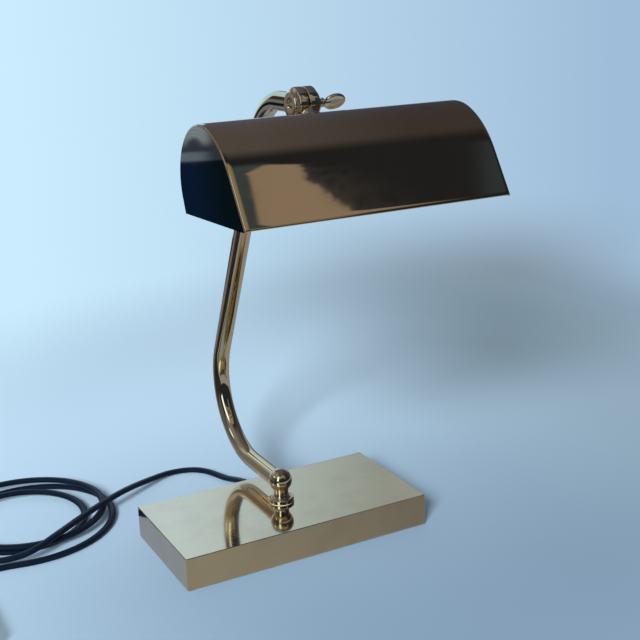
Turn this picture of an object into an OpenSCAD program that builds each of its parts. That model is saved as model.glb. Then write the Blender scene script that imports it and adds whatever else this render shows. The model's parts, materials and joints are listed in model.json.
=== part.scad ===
// Brass desk lamp: a trough shade that tilts on a bent arm, and the arm swivels on a weighted base.
// Millimetres. X runs along the base, Y to the back, Z up. The origin is under the middle of the base.

/* [Base] */
// Length of the base
base_l = 220; // [180:1:280]
// Width of the base
base_w = 112; // [96:1:150]
// Height of the base with its felt
base_h = 28; // [26:1:40]
// Thickness of the folded brass sheet
sheet_t = 1.2; // [0.8:0.1:2]
// Thickness of the felt under the base
felt_t = 1.5; // [1:0.1:2.5]
// Height of the brass skirt above the table
skirt_z = 0.5; // [0.3:0.1:0.8]
// Thickness of the steel bottom cover
cover_t = 1; // [0.8:0.1:2]
// Thickness of the iron ballast
ballast_t = 12; // [8:1:13]
// Gap between the iron ballast and the outside of the base
ballast_gap = 15; // [10:1:24]
// Distance of the cover screws from the ballast's edges
post_edge = 10; // [8:0.5:16]
// Diameter of the screw posts inside the base
post_d = 8; // [7:0.5:10]
// Diameter of the cover screws
cover_screw_d = 4; // [3:0.5:5]

/* [Swivel post] */
// Diameter of the flange on the base
flange_d = 22; // [18:0.5:30]
// Thickness of the flange
flange_t = 3.5; // [2:0.5:5]
// Radius of the hollow curve from flange to neck
cove_r = 3.5; // [1:0.5:4]
// Diameter of the neck
neck_d = 12.5; // [12:0.5:15]
// Diameter of the ball
ball_d = 20; // [18.5:0.5:26]
// Height of the ball's centre above the table
ball_z = 47.5; // [45:0.5:52]
// Diameter of the hollow threaded rod through the base
nipple_d = 10; // [8:0.5:10.5]
// Bore of the hollow threaded rods, for the wire
wire_d = 6; // [4:0.5:6.5]
// Width across the flats of the nuts
nut_af = 14; // [13:0.5:17]
// Height of the nuts
nut_h = 4; // [3:0.5:6]
// Diameter of the swivel's stop peg
peg_d = 4; // [3:0.5:5]
// Distance of the stop peg from the swivel's axis
peg_r = 13; // [12:0.5:16]

/* [Arm] */
// Outside diameter of the arm's tube
tube_d = 15; // [14:0.5:16.5]
// Wall of the arm's tube
tube_t = 1; // [0.8:0.1:1.5]
// Height of the tube's low run above the table
low_z = 45.5; // [44:0.5:50]
// Length of the low run, from the post to the first bend
low_run = 56; // [40:1:80]
// Radius of the first bend
bend_r = 62; // [45:1:75]
// Lean of the rise towards the front, in degrees from upright
lean = 27; // [15:1:35]
// Radius of the crook at the top
crook_r = 45; // [30:1:60]
// Height of the tube's top run above the table
top_z = 369; // [330:1:420]
// Length of the straight run after the crook
top_run = 19; // [14:1:40]

/* [Head joint] */
// Diameter of the two discs of the head joint
disc_d = 25.5; // [22:0.5:28]
// Thickness of each disc
disc_t = 10; // [8.5:0.5:13]
// Rounding of the discs' outer rims
rim_r = 3; // [1:0.25:3.5]
// Length of the arm half's neck, from the joint's axis
neck_l = 16; // [14:0.5:22]
// Distance of the shade from the joint's axis
shade_reach = 24; // [22:0.5:30]
// Thickness of the fibre washer in the seam
seam_t = 0.6; // [0.4:0.1:1]
// Diameter of the thumb screw's thread
screw_d = 6; // [5:0.5:7]
// Diameter of the thumb screw's collar
collar_d = 8; // [7.5:0.5:12]
// Length of the thumb screw's collar
collar_l = 7; // [2:0.5:9]
// Length of the thumb screw's paddle along its axis
paddle_l = 18; // [13:0.5:22]
// Width of the thumb screw's paddle
paddle_w = 14.5; // [10:0.5:22]
// Thickness of the thumb screw's paddle
paddle_t = 2.6; // [2:0.1:4]
// Turn of the paddle at rest, in degrees
paddle_turn = 39; // [0:1:180]

/* [Shade] */
// Length of the shade
shade_l = 202; // [180:1:260]
// Sheet thickness of the shade
shade_t = 1; // [0.8:0.1:1.5]
// Radius of the shade's back and crown
crown_r = 41; // [38:0.5:48]
// Radius of the shade's front
front_r = 66.5; // [60:0.5:80]
// Inward slope of the back wall, in degrees from upright
back_slope = 17; // [8:1:22]
// Angle on the crown where the front's longer radius starts
crown_end = 117; // [105:1:122]
// Slope of the front wall, in degrees from upright
front_slope = 29; // [24:1:36]
// Depth of the opening below the crown's centre
skirt = 22; // [18:0.5:28]
// Slope of the joint's spigot below level, in degrees
spigot_slope = 43; // [38:1:50]
// Lift of the front edge at rest, in degrees
front_lift = 2.4; // [0:0.1:5]
// Thickness of the end plates
end_t = 1.2; // [0.8:0.1:2]
// Depth of the lip that seats an end plate in the shell
lip_w = 5; // [3:0.5:8]

/* [Lamp] */
// Thickness of the lampholder's strap
strap_t = 2; // [1.5:0.1:3]
// Width of the lampholder's strap
strap_w = 16; // [15:0.5:20]
// Distance of the strap's bent leg from the shade's end
leg_edge = 17; // [17:0.5:28]
// Distance of the bulb's axis from the strap
holder_drop = 25; // [23:0.5:27]
// Diameter of the lampholder
holder_d = 28; // [26:0.5:32]
// Length of the lampholder
holder_l = 46; // [44:1:60]
// Diameter of the bulb's screw cap
cap_d = 14; // [13:0.5:15]
// Length of the bulb's screw cap
cap_l = 24; // [20:1:27]
// Diameter of the bulb's glass tube
bulb_d = 26; // [20:0.5:28]
// Length of the bulb's glass
bulb_l = 96; // [70:1:110]

/* [Cord] */
// Width of the flat cord
cord_w = 6.6; // [5.4:0.1:7]
// Height of the flat cord as it lies
cord_h = 5; // [4:0.1:5.6]
// Distance of the cord's exit to the right of the base's middle
exit_x = 6; // [0:1:24]
// Height of the cord's exit above the table
exit_z = 9.5; // [9.5:0.5:12]
// Length of the strain relief behind the base
relief_l = 22; // [20:1:40]
// Width of the cord switch
switch_w = 24; // [22:1:30]
// Length of the cord switch
switch_l = 62; // [56:1:70]
// Height of the cord switch under its bezel
switch_h = 12; // [11.5:0.5:16]
// Width of the plug
plug_w = 35; // [30:1:40]
// Length of the plug's body between its sleeve and its pins
plug_l = 33; // [30:1:45]
// Thickness of the plug
plug_t = 13.6; // [12:0.1:13.8]
// Diameter of the plug's pins
pin_d = 4; // [3.5:0.1:5]
// Length of the plug's pins
pin_l = 19; // [15:1:22]
// Distance between the plug's pins
pin_gap = 19; // [16:0.5:22]

/* [Hidden] */
$fn = 64;
// Radial clearance of seated and running fits
fit = 0.05;
// Clearance between pieces that must not touch
clear = 0.4;
// Overlap of a cut past the face it opens
past = 1;

// Base, from the table upwards
cover_z = felt_t + cover_t;
roof_z = base_h - sheet_t;
ballast_l = base_l - 2 * ballast_gap;
ballast_w = base_w - 2 * ballast_gap;
post_x = ballast_l / 2 - post_edge;
post_y = ballast_w / 2 - post_edge;
screw_head_d = 1.8 * cover_screw_d;
screw_head_h = 1.2;
felt_in = sheet_t + clear;

// Swivel stack, from the base's roof
slip_t = 0.5;
flange_z = base_h + slip_t;
stop_t = 1;
spring_t = 1.2;
tab_w = 5;
stop_d = nut_af + 4;
stack = stop_t + spring_t + nut_h;
nipple_in = 8;
tube_seat = 3;

// Arm in its own plane: first coordinate along Y, second along Z
bend_c = [low_run, low_z + bend_r];
rise_a = bend_c + bend_r * [cos(lean), sin(lean)];
crook_z = top_z - crook_r;
rise_l = (crook_z + crook_r * sin(lean) - rise_a[1]) / cos(lean);
rise_b = rise_a + rise_l * [-sin(lean), cos(lean)];
crook_c = rise_b - crook_r * [cos(lean), sin(lean)];
knuckle = [crook_c[0] - top_run - neck_l, top_z];
bore_d = tube_d - 2 * tube_t;
swell = 0.05;
lap = 1;
spigot_l = 12;
dimple_d = 8;
dimple_h = 1.5;
disc_far = seam_t / 2 + disc_t;

// Shade, in the plane of its end and about the crown's centre
front_c = -(front_r - crown_r) * [cos(crown_end), sin(crown_end)];
front_end = 180 - front_slope;
crown_at = shade_reach + crown_r;
seat_gap = 0.1;
lip_t = 1;
arc_steps = 40;
front_steps = 12;

// Fastening inside the shade, as distances from the joint's axis along the spigot
leg_x = shade_l / 2 - leg_edge;
strap_s = crown_at - sqrt(pow(crown_r - shade_t, 2) - pow(strap_w / 2, 2)) + seat_gap;
washer_t = 1;
washer_d = nut_af + 2;
shade_nut_s = strap_s + strap_t + washer_t;
holder_s = strap_s + strap_t + holder_drop;
nipple_depth = 8;
rod_past = 1.5;

// Lampholder, from its back
holder_back = 4;
holder_wall = 1.6;
core_floor = 8;
contact_t = 1;
core_l = core_floor + contact_t + cap_l - 1;
cap_tip = 2;
cap_z = holder_back + core_floor + contact_t;
glass_z = cap_z + cap_l;
holder_rod = nut_h + strap_t + rod_past;

// Cord switch and plug
switch_x = -268;
switch_y = -switch_l / 2;
switch_split = 7;
switch_r = 7;
switch_wall = 2;
bezel_h = 2;
window_w = 12.6;
window_l = 20.6;
rocker_w = 12;
rocker_half = 9.5;
rocker_tip = 8;
pivot_z = switch_h - 1.5;
pivot_d = 3;
pivot_l = 1.6;
switch_screw_d = 2.6;
switch_screw_y = switch_l / 2 - 9;
cord_end_l = 50;
plug_y = -switch_l - cord_end_l;
plug_z = plug_t / 2 + 0.2;
sleeve_l = 20;
pin_in = 8;

// Coil: loops that spiral in on the upper layer and out again on the table
cord_z = cord_h / 2 + 0.1;
layer = cord_h + 0.8;
coil_c = [-190, 136];
coil_r = 86;
coil_pitch = 25;
coil_start = 220;
turns_in = 1.25;
turns_back = 0.5;
turns_out = 1.15;
turns = turns_in + turns_back + turns_out;
loop_rings = 24;
loop_sides = 6;
lead_sides = 10;

// Cord's free stretches, chosen places on the table and over the coil, their heights counted in layers of cord
lead_route = [
    [5.7, 92, 1.09], [4.8, 99.4, 0.88], [3.2, 107, 0.6], [1.2, 114.7, 0.33], [-1, 122.5, 0.12],
    [-3.5, 131.5, 0.02], [-6.6, 140.8, 0], [-10.7, 149.4, 0], [-17, 156.5, 0], [-25.3, 161.2, 0],
    [-34.7, 163, 0.03], [-44.2, 161.7, 0.17], [-52.7, 157.6, 0.41], [-61.6, 151.5, 0.72], [-72, 144.2, 1.1],
    [-85.7, 134.5, 1.55], [-100.2, 124.4, 1.9], [-112, 116.8, 2], [-124, 109.2, 2], [-138.5, 99.4, 2],
    [-153.5, 88.4, 2], [-168.6, 76.6, 2], [-182.8, 65.8, 2], [-195.4, 58.4, 1.78], [-209, 54.6, 1.48],
    [-223.2, 55.6, 1.26], [-236.4, 61.2, 1.1]
];
tail_route = [
    [-230.5, 58.2, 0], [-237.8, 57.5, 0], [-244.9, 55.3, 0], [-251.3, 51.9, 0], [-257, 47.2, 0],
    [-261.7, 41.5, 0.03], [-265.1, 35, 0.14], [-267.3, 28, 0.29], [-268, 20.7, 0.47], [-268, 13.6, 0.64]
];
end_route = [
    [-268, -78, 0.59], [-268, -87, 0.52], [-268, -96, 0.59]
];

// Functions

// Points on an arc about c, from angle a to angle b
function arc(c, r, a, b, steps) =
    [for (i = [0 : steps]) c + r * [cos(a + (b - a) * i / steps), sin(a + (b - a) * i / steps)]];

// A list in the opposite order
function reversed(list) = [for (i = [len(list) - 1 : -1 : 0]) list[i]];

// Where a line from p along direction d reaches the shade's opening
function at_opening(p, d) = p + d * (-skirt - p[1]) / d[1];

// The shade's section from the back edge over the crown to the front edge, set in by depth
function shade_edge(depth) =
    let (crown = arc([0, 0], crown_r - depth, -back_slope, crown_end, arc_steps))
    let (front = arc(front_c, front_r - depth, crown_end, front_end, front_steps))
    concat(
        [at_opening(crown[0], [-sin(back_slope), -cos(back_slope)])],
        crown,
        [for (i = [1 : front_steps]) front[i]],
        [at_opening(front[front_steps], [-sin(front_end), cos(front_end)])]
    );

// The shade's section between two depths, as a closed strip
function shade_strip(near, far) = concat(shade_edge(near), reversed(shade_edge(far)));

// Points of an oval about the origin
function oval(l, w, steps) = [for (i = [0 : steps - 1]) [l / 2 * cos(360 * i / steps), w / 2 * sin(360 * i / steps)]];

// Radius of the coil after n turns
function coil_radius(n) =
    let (inner = coil_r - coil_pitch * turns_in)
    let (m = n - turns_in)
    m < 0 ? coil_r - coil_pitch * n
    : m < turns_back ? inner - coil_pitch * m + coil_pitch * m * m / turns_back
    : inner + coil_pitch * (m - turns_back);

// Height of the coil's centre line after n turns
function coil_height(n) =
    let (m = min(max((n - turns_in) / turns_back, 0), 1))
    cord_z + layer * (1 + cos(180 * m)) / 2;

// A point of the coil's centre line after n turns, clockwise seen from above
function coil_at(n) =
    let (a = coil_start - 360 * n)
    [coil_c[0] + coil_radius(n) * cos(a), coil_c[1] + coil_radius(n) * sin(a), coil_height(n)];

// A route with its heights turned from layers of cord to millimetres
function lifted(route) = [for (p = route) [p[0], p[1], cord_z + layer * p[2]]];

// A vector of length one
function unit(v) = v / norm(v);

// The coil's heading at one of its ends
function coil_heading(n) = unit(coil_at(n + 0.002) - coil_at(n - 0.002));

// The coil's centre line, with ends that run straight for one cord width
coil_in = coil_at(0) - cord_w * coil_heading(0);
coil_out = coil_at(turns) + cord_w * coil_heading(turns);
coil_count = ceil(loop_rings * turns);
coil_line = concat([coil_in], [for (i = [0 : coil_count]) coil_at(turns * i / coil_count)], [coil_out]);

// A curve through four points, at t from the second to the third
function through(a, b, c, d, t) =
    (2 * b + (c - a) * t + (2 * a - 5 * b + 4 * c - d) * t * t + (3 * b - a - 3 * c + d) * t * t * t) / 2;

// A route with one more point in the middle of every stretch but the first and the last
function smooth(route) =
    let (last = len(route) - 1)
    [for (i = [0 : last]) for (h = [0 : (i == 0 || i >= last - 1 ? 0 : 1)])
        h == 0 ? route[i] : through(route[i - 1], route[i], route[i + 1], route[i + 2], 0.5)];

// Direction of a centre line at point i
function heading(line, i) =
    unit(line[min(i + 1, len(line) - 1)] - line[max(i - 1, 0)]);

// A ring of the flat cord round point i of a centre line, its wide side level
function cord_ring(line, i, sides) =
    let (ahead = heading(line, i))
    let (side = unit(cross([0, 0, 1], ahead)))
    let (up = cross(ahead, side))
    [for (j = [0 : sides - 1])
        line[i] + cord_w / 2 * cos(360 * j / sides) * side + cord_h / 2 * sin(360 * j / sides) * up];

// Room between two places on the coil, along the line that joins their centres
function room(a, b) =
    let (d = b - a)
    let (flat = norm([d[0], d[1]]) / norm(d))
    let (tall = abs(d[2]) / norm(d))
    norm(d) - sqrt(pow(cord_w * flat, 2) + pow(cord_h * tall, 2));

// Length of a centre line
function line_length(line) =
    [for (i = 0, s = 0; i < len(line); i = i + 1, s = s + (i < len(line) ? norm(line[i] - line[i - 1]) : 0)) s]
    [len(line) - 1];

lead_line = smooth(concat(
    [[exit_x, base_w / 2 + relief_l, exit_z], [exit_x, base_w / 2 + relief_l + cord_w, exit_z]],
    lifted(lead_route),
    [coil_in - cord_w * coil_heading(0), coil_in]
));
tail_line = smooth(concat(
    [coil_out, coil_out + cord_w * coil_heading(turns)],
    lifted(tail_route),
    [[switch_x, cord_w, switch_split], [switch_x, 0, switch_split]]
));
end_line = smooth(concat(
    [[switch_x, -switch_l, switch_split], [switch_x, -switch_l - cord_w, switch_split]],
    lifted(end_route),
    [[switch_x, plug_y + cord_w, plug_z], [switch_x, plug_y, plug_z]]
));

near_rings = loop_rings / 3;
echo("least gap of the coil to itself", min([
    for (i = [0 : coil_count + 2]) for (j = [i + near_rings : 1 : coil_count + 2])
        room(coil_line[i], coil_line[j])
]));
echo("cord length", line_length(lead_line) + line_length(coil_line) + line_length(tail_line)
    + switch_l + line_length(end_line));

// Places

// From a drawing of Y and Z, drawn along X and Y, to the lamp's own axes
module upright() {
    rotate([90, 0, 90]) children();
}

// The head joint's axis, along X
module at_knuckle() {
    translate([0, knuckle[0], knuckle[1]]) children();
}

// The head at rest, about the joint's axis
module at_head() {
    at_knuckle() rotate([-front_lift, 0, 0]) children();
}

// Along the spigot, with Z from the joint to the shade
module along_spigot(s) {
    at_head() rotate([90 + spigot_slope, 0, 0]) translate([0, 0, s]) children();
}

// The crown's centre, in the drawing of the shade's end
module at_crown() {
    at_head() upright() translate(-crown_at * [cos(spigot_slope), sin(spigot_slope)]) children();
}

// The lampholder's back, with Z along its axis
module at_holder() {
    along_spigot(holder_s) translate([-leg_x, 0, 0]) rotate([0, 90, 0]) children();
}

// The four screw posts of the base
module at_posts() {
    for (x = [-post_x, post_x], y = [-post_y, post_y]) translate([x, y, 0]) children();
}

// The cord switch, with Y along the cord
module at_switch() {
    translate([switch_x, switch_y, 0]) children();
}

// The plug, with Z out of its pins and Y up
module at_plug() {
    translate([switch_x, plug_y, plug_z]) rotate([90, 0, 0]) children();
}

// Shared shapes

// A rectangle with round corners
module rounded(w, l, r) {
    square([w - 2 * r, l], center = true);
    square([w, l - 2 * r], center = true);
    for (x = [-1, 1], y = [-1, 1]) translate([x * (w / 2 - r), y * (l / 2 - r)]) circle(r);
}

// A flat ring
module ring(outer, inner, h) {
    difference() {
        cylinder(d = outer, h = h);
        translate([0, 0, -past]) cylinder(d = inner, h = h + 2 * past);
    }
}

// A hexagon nut
module nut(bore) {
    difference() {
        cylinder(d = nut_af / cos(30), h = nut_h, $fn = 6);
        translate([0, 0, -past]) cylinder(d = bore, h = nut_h + 2 * past);
    }
}

// A bend of the tube, from the drawing's first axis through turn, a little swollen by the bending
module tube_bend(r, turn, d) {
    rotate_extrude(angle = turn) translate([r, 0]) circle(d = d + 2 * swell);
}

// A straight run of the tube along the drawing's second axis, let into the bends at its ends
module tube_run(l, d, before, after) {
    translate([0, -before]) rotate([-90, 0, 0]) cylinder(d = d, h = l + before + after);
}

// The tube's whole path filled to a diameter, each stretch placed from the end of the one before
module tube_path(d) {
    upright() translate(bend_c) {
        rotate(-90) {
            translate([bend_r, tube_seat - low_run]) tube_run(low_run - tube_seat, d, 0, lap);
            tube_bend(bend_r, 90 + lean, d);
        }
        rotate(lean) {
            translate([bend_r, 0]) tube_run(rise_l, d, lap, lap);
            translate([bend_r - crook_r, rise_l]) {
                tube_bend(crook_r, 90 - lean, d);
                rotate(90 - lean) translate([crook_r, 0]) tube_run(top_run, d, lap, 0);
            }
        }
    }
}

// A flat cord along a centre line
module cord(line, sides) {
    count = len(line);
    rings = [for (i = [0 : count - 1]) cord_ring(line, i, sides)];
    first = [for (j = [1 : sides - 2]) [0, j, j + 1]];
    top = (count - 1) * sides;
    last = [for (j = [1 : sides - 2]) [top, top + j + 1, top + j]];
    walls = [for (i = [0 : count - 2]) for (j = [0 : sides - 1]) for (half = [0, 1])
        let (k = (j + 1) % sides)
        half == 0
            ? [i * sides + j, (i + 1) * sides + k, i * sides + k]
            : [i * sides + j, (i + 1) * sides + j, (i + 1) * sides + k]];
    polyhedron(
        points = [for (r = rings) each r],
        faces = concat(first, last, walls)
    );
}

// Half of the head joint: a disc about Z on the upper side and a neck along X
module knuckle_half(l) {
    difference() {
        union() {
            rotate_extrude() disc_section();
            rotate([0, 90, 0]) cylinder(d = tube_d, h = l);
        }
        translate([0, 0, -disc_t]) cylinder(d = disc_d + 2 * clear, h = disc_t + seam_t / 2);
        translate([0, 0, -past]) cylinder(d = screw_d + 2 * fit, h = disc_far + 2 * past);
    }
}

// The disc's half section, with a round outer rim
module disc_section() {
    translate([0, seam_t / 2]) square([disc_d / 2, disc_t - rim_r]);
    translate([0, seam_t / 2]) square([disc_d / 2 - rim_r, disc_t]);
    translate([disc_d / 2 - rim_r, disc_far - rim_r]) circle(rim_r);
}

// An end plate in the drawing of the shade's end, its lip on the upper side
module shade_end() {
    linear_extrude(end_t) polygon(shade_edge(0));
    translate([0, 0, end_t]) linear_extrude(lip_w)
        polygon(shade_strip(shade_t + fit, shade_t + fit + lip_t));
}

// Sub-parts of the base

module base_shell() {
    color("#b8954e") difference() {
        union() {
            difference() {
                translate([-base_l / 2, -base_w / 2, skirt_z]) cube([base_l, base_w, base_h - skirt_z]);
                translate([sheet_t - base_l / 2, sheet_t - base_w / 2, skirt_z - past])
                    cube([base_l - 2 * sheet_t, base_w - 2 * sheet_t, roof_z - skirt_z + past]);
            }
            at_posts() translate([0, 0, cover_z]) cylinder(d = post_d, h = roof_z - cover_z);
        }
        translate([0, 0, roof_z - past]) cylinder(d = nipple_d + 2 * fit, h = sheet_t + 2 * past);
        at_posts() translate([0, 0, cover_z - past])
            cylinder(d = cover_screw_d + 2 * fit, h = ballast_t + past);
        translate([exit_x, base_w / 2 - sheet_t - past, exit_z]) rotate([-90, 0, 0])
            cylinder(d = gland_d + 2 * fit, h = sheet_t + 2 * past);
    }
}

module base_weight() {
    color("#3a3a3c") difference() {
        translate([-ballast_l / 2, -ballast_w / 2, cover_z]) cube([ballast_l, ballast_w, ballast_t]);
        at_posts() translate([0, 0, cover_z - past])
            cylinder(d = post_d + 2 * clear, h = ballast_t + 2 * past);
    }
}

module base_cover() {
    color("#6d6e70") difference() {
        translate([sheet_t + fit - base_l / 2, sheet_t + fit - base_w / 2, felt_t])
            cube([base_l - 2 * sheet_t - 2 * fit, base_w - 2 * sheet_t - 2 * fit, cover_t]);
        at_posts() translate([0, 0, felt_t - past])
            cylinder(d = cover_screw_d + 2 * fit, h = cover_t + 2 * past);
    }
}

module cover_screws() {
    color("#8d8d90") at_posts() {
        translate([0, 0, felt_t]) cylinder(d = cover_screw_d, h = cover_t + ballast_t - past);
        translate([0, 0, felt_t - screw_head_h]) cylinder(d = screw_head_d, h = screw_head_h);
    }
}

module base_felt() {
    color("#2b2f2c") difference() {
        translate([felt_in - base_l / 2, felt_in - base_w / 2, 0])
            cube([base_l - 2 * felt_in, base_w - 2 * felt_in, felt_t]);
        at_posts() translate([0, 0, -past])
            cylinder(d = screw_head_d + 2 * clear, h = felt_t + 2 * past);
    }
}

module swivel_washer() {
    color("#d8d4c8") translate([0, 0, base_h]) ring(flange_d - 1, nipple_d + 2 * fit, slip_t);
}

module stop_peg() {
    color("#8d8d90") translate([0, -peg_r, roof_z - stack]) cylinder(d = peg_d, h = stack);
}

// Diameter of the strain relief where it passes the back wall
gland_d = cord_w + 3.6;
gland_flange_d = gland_d + 2.4;
gland_flange_t = 1.5;
relief_tip_d = cord_w + 1.4;
relief_grooves = 4;
groove_step = (relief_l - 4 * gland_flange_t) / relief_grooves;

module cord_gland() {
    inside = sheet_t + 2 * gland_flange_t;
    color("#17181c") translate([exit_x, base_w / 2, exit_z]) rotate([-90, 0, 0]) {
        difference() {
            union() {
                translate([0, 0, -inside]) cylinder(d = gland_flange_d, h = 2 * gland_flange_t);
                translate([0, 0, -sheet_t]) cylinder(d = gland_d, h = sheet_t);
                cylinder(d = gland_flange_d, h = gland_flange_t);
                translate([0, 0, gland_flange_t])
                    cylinder(d1 = gland_d, d2 = relief_tip_d, h = relief_l - gland_flange_t);
            }
            for (i = [1 : relief_grooves], side = [0, 180]) rotate(side)
                translate([cord_w / 2 + 0.2, -gland_d / 2, 2 * gland_flange_t + i * groove_step - groove_step / 2])
                    cube([gland_d, gland_d, groove_step / 2]);
        }
    }
}

module cord_lead() {
    color("#14161c") cord(lead_line, lead_sides);
}

module cord_coil() {
    color("#14161c") cord(coil_line, loop_sides);
}

module cord_tail() {
    color("#14161c") cord(tail_line, lead_sides);
}

module cord_end() {
    color("#14161c") cord(end_line, lead_sides);
}

module switch_lower() {
    color("#16171b") at_switch() difference() {
        linear_extrude(switch_split) rounded(switch_w, switch_l, switch_r);
        translate([0, 0, switch_wall]) linear_extrude(switch_split) square([window_w, window_l + 4], center = true);
        for (y = [-1, 1]) translate([0, y * switch_screw_y, -past]) {
            cylinder(d = switch_screw_d + 2 * fit, h = switch_split + 2 * past);
            cylinder(d = 2 * switch_screw_d + 2 * fit, h = past + 2);
        }
    }
}

module switch_upper() {
    color("#16171b") at_switch() difference() {
        union() {
            translate([0, 0, switch_split]) linear_extrude(switch_h - switch_split)
                rounded(switch_w, switch_l, switch_r);
            translate([0, 0, switch_h]) linear_extrude(bezel_h)
                rounded(window_w + 2 * switch_wall, window_l + 2 * switch_wall, switch_wall);
        }
        translate([0, 0, switch_split - past]) linear_extrude(switch_h + bezel_h)
            square([window_w, window_l], center = true);
        translate([0, 0, pivot_z]) rotate([0, 90, 0])
            cylinder(d = pivot_d + 2 * fit, h = window_w + 4 * pivot_l, center = true);
        for (y = [-1, 1]) translate([0, y * switch_screw_y, switch_split - past])
            cylinder(d = switch_screw_d + 2 * fit, h = past + switch_h - switch_split - 1);
    }
}

module switch_screws() {
    color("#8d8d90") at_switch() for (y = [-1, 1]) translate([0, y * switch_screw_y, 0.6]) {
        cylinder(d = 2 * switch_screw_d, h = 1.4);
        cylinder(d = switch_screw_d, h = switch_h - 2.2);
    }
}

module switch_rocker() {
    color("#1d1e22") at_switch() translate([0, 0, pivot_z]) rotate([rocker_tip, 0, 0]) {
        upright() translate([0, 0, -rocker_w / 2]) linear_extrude(rocker_w) polygon([
            [-rocker_half + 1.5, -3], [rocker_half - 1.5, -3],
            [rocker_half, 3.2], [rocker_half / 2, 2.2], [0, 1.9], [-rocker_half / 2, 2.2], [-rocker_half, 3.2]
        ]);
        rotate([0, 90, 0]) cylinder(d = pivot_d, h = rocker_w + 2 * pivot_l, center = true);
    }
}

module plug_body() {
    shoulder = plug_l * 0.35;
    sleeve_d = plug_t - 2.6;
    face = sleeve_l + plug_l;
    color("#16171b") at_plug() difference() {
        union() {
            cylinder(d1 = cord_w + 1.8, d2 = sleeve_d, h = sleeve_l);
            rotate([90, 0, 0]) translate([0, 0, -plug_t / 2]) linear_extrude(plug_t) polygon([
                [-sleeve_d / 2 - 1, sleeve_l], [sleeve_d / 2 + 1, sleeve_l],
                [plug_w / 2, sleeve_l + shoulder], [plug_w / 2, face],
                [-plug_w / 2, face], [-plug_w / 2, sleeve_l + shoulder]
            ]);
        }
        for (x = [-1, 1]) translate([x * pin_gap / 2, 0, face - pin_in])
            cylinder(d = pin_d + 2 * fit, h = pin_in + past);
    }
}

module plug_pins() {
    face = sleeve_l + plug_l;
    color("#c8c9cc") at_plug() for (x = [-1, 1]) translate([x * pin_gap / 2, 0, face - pin_in]) {
        cylinder(d = pin_d, h = pin_in + pin_l - pin_d / 2);
        translate([0, 0, pin_in + pin_l - pin_d / 2]) sphere(d = pin_d);
    }
}

// Sub-parts of the arm

module post_knob() {
    cove_z = flange_z + flange_t;
    color("#b8954e") difference() {
        rotate_extrude() {
            translate([0, flange_z]) square([flange_d / 2, flange_t]);
            translate([0, flange_z]) square([neck_d / 2, ball_z - flange_z]);
            difference() {
                translate([0, cove_z]) square([neck_d / 2 + cove_r, cove_r]);
                translate([neck_d / 2 + cove_r, cove_z + cove_r]) circle(cove_r);
            }
            intersection() {
                translate([0, ball_z]) circle(d = ball_d);
                translate([0, ball_z - ball_d]) square(2 * ball_d);
            }
        }
        translate([0, tube_seat, low_z]) rotate([-90, 0, 0]) cylinder(d = tube_d + 2 * fit, h = ball_d);
        rotate([-90, 0, 0]) translate([0, -low_z, 0]) cylinder(d = wire_d, h = ball_d);
        translate([0, 0, flange_z - past]) cylinder(d = nipple_d + 2 * fit, h = nipple_in + past);
        translate([0, 0, flange_z]) cylinder(d = wire_d, h = low_z - flange_z);
    }
}

module swivel_nipple() {
    bottom = roof_z - stack - rod_past;
    color("#a9884a") translate([0, 0, bottom]) ring(nipple_d, wire_d, flange_z + nipple_in - bottom);
}

module stop_washer() {
    color("#8d8d90") translate([0, 0, roof_z - stop_t]) difference() {
        union() {
            cylinder(d = stop_d, h = stop_t);
            translate([-tab_w / 2, 0, 0]) cube([tab_w, peg_r + peg_d / 2, stop_t]);
        }
        translate([0, 0, -past]) cylinder(d = nipple_d + 2 * fit, h = stop_t + 2 * past);
    }
}

module spring_washer() {
    color("#8d8d90") translate([0, 0, roof_z - stop_t - spring_t]) ring(nut_af + 1, nipple_d + 2 * fit, spring_t);
}

module lock_nut() {
    color("#a9884a") translate([0, 0, roof_z - stack]) nut(nipple_d + 2 * fit);
}

module arm_tube() {
    color("#b8954e") difference() {
        tube_path(tube_d);
        tube_path(bore_d);
    }
}

module knuckle_arm() {
    color("#b8954e") at_knuckle() rotate([-90, 0, 0]) rotate([0, -90, 0]) difference() {
        union() {
            knuckle_half(neck_l);
            translate([neck_l, 0, 0]) rotate([0, 90, 0]) cylinder(d = bore_d - 2 * fit, h = spigot_l);
        }
        translate([neck_l - nipple_depth / 2, 0, 0]) rotate([0, 90, 0])
            cylinder(d = wire_d, h = spigot_l + neck_l);
        translate([0, 0, disc_far - dimple_h])
            cylinder(d1 = screw_d + 2 * fit, d2 = dimple_d, h = dimple_h + 0.01);
    }
}

module knuckle_washer() {
    color("#4a3a28") at_knuckle() translate([-seam_t / 2, 0, 0]) rotate([0, 90, 0])
        ring(disc_d - 2 * rim_r, screw_d + 2 * fit, seam_t);
}

module thumb_screw() {
    shank = 2 * disc_far - dimple_h + 0.5;
    color("#b8954e") at_knuckle() rotate([paddle_turn, 0, 0]) rotate([0, 90, 0]) {
        translate([0, 0, disc_far - shank]) cylinder(d = screw_d, h = shank);
        translate([0, 0, disc_far]) cylinder(d = collar_d, h = collar_l);
        translate([0, 0, disc_far + collar_l]) cylinder(d1 = screw_d, d2 = paddle_t, h = paddle_l / 3);
        translate([0, 0, disc_far + collar_l + paddle_l / 2]) rotate([90, 0, 0])
            translate([0, 0, -paddle_t / 2]) linear_extrude(paddle_t) polygon(oval(paddle_w, paddle_l, 48));
    }
}

// Sub-parts of the head

module knuckle_shade() {
    color("#b8954e") at_head() rotate([spigot_slope - 90, 0, 0]) rotate([0, 90, 0]) difference() {
        knuckle_half(shade_reach - seat_gap);
        translate([shade_reach - nipple_depth, 0, 0]) rotate([0, 90, 0])
            cylinder(d = nipple_d + 2 * fit, h = nipple_depth + past);
    }
}

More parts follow.
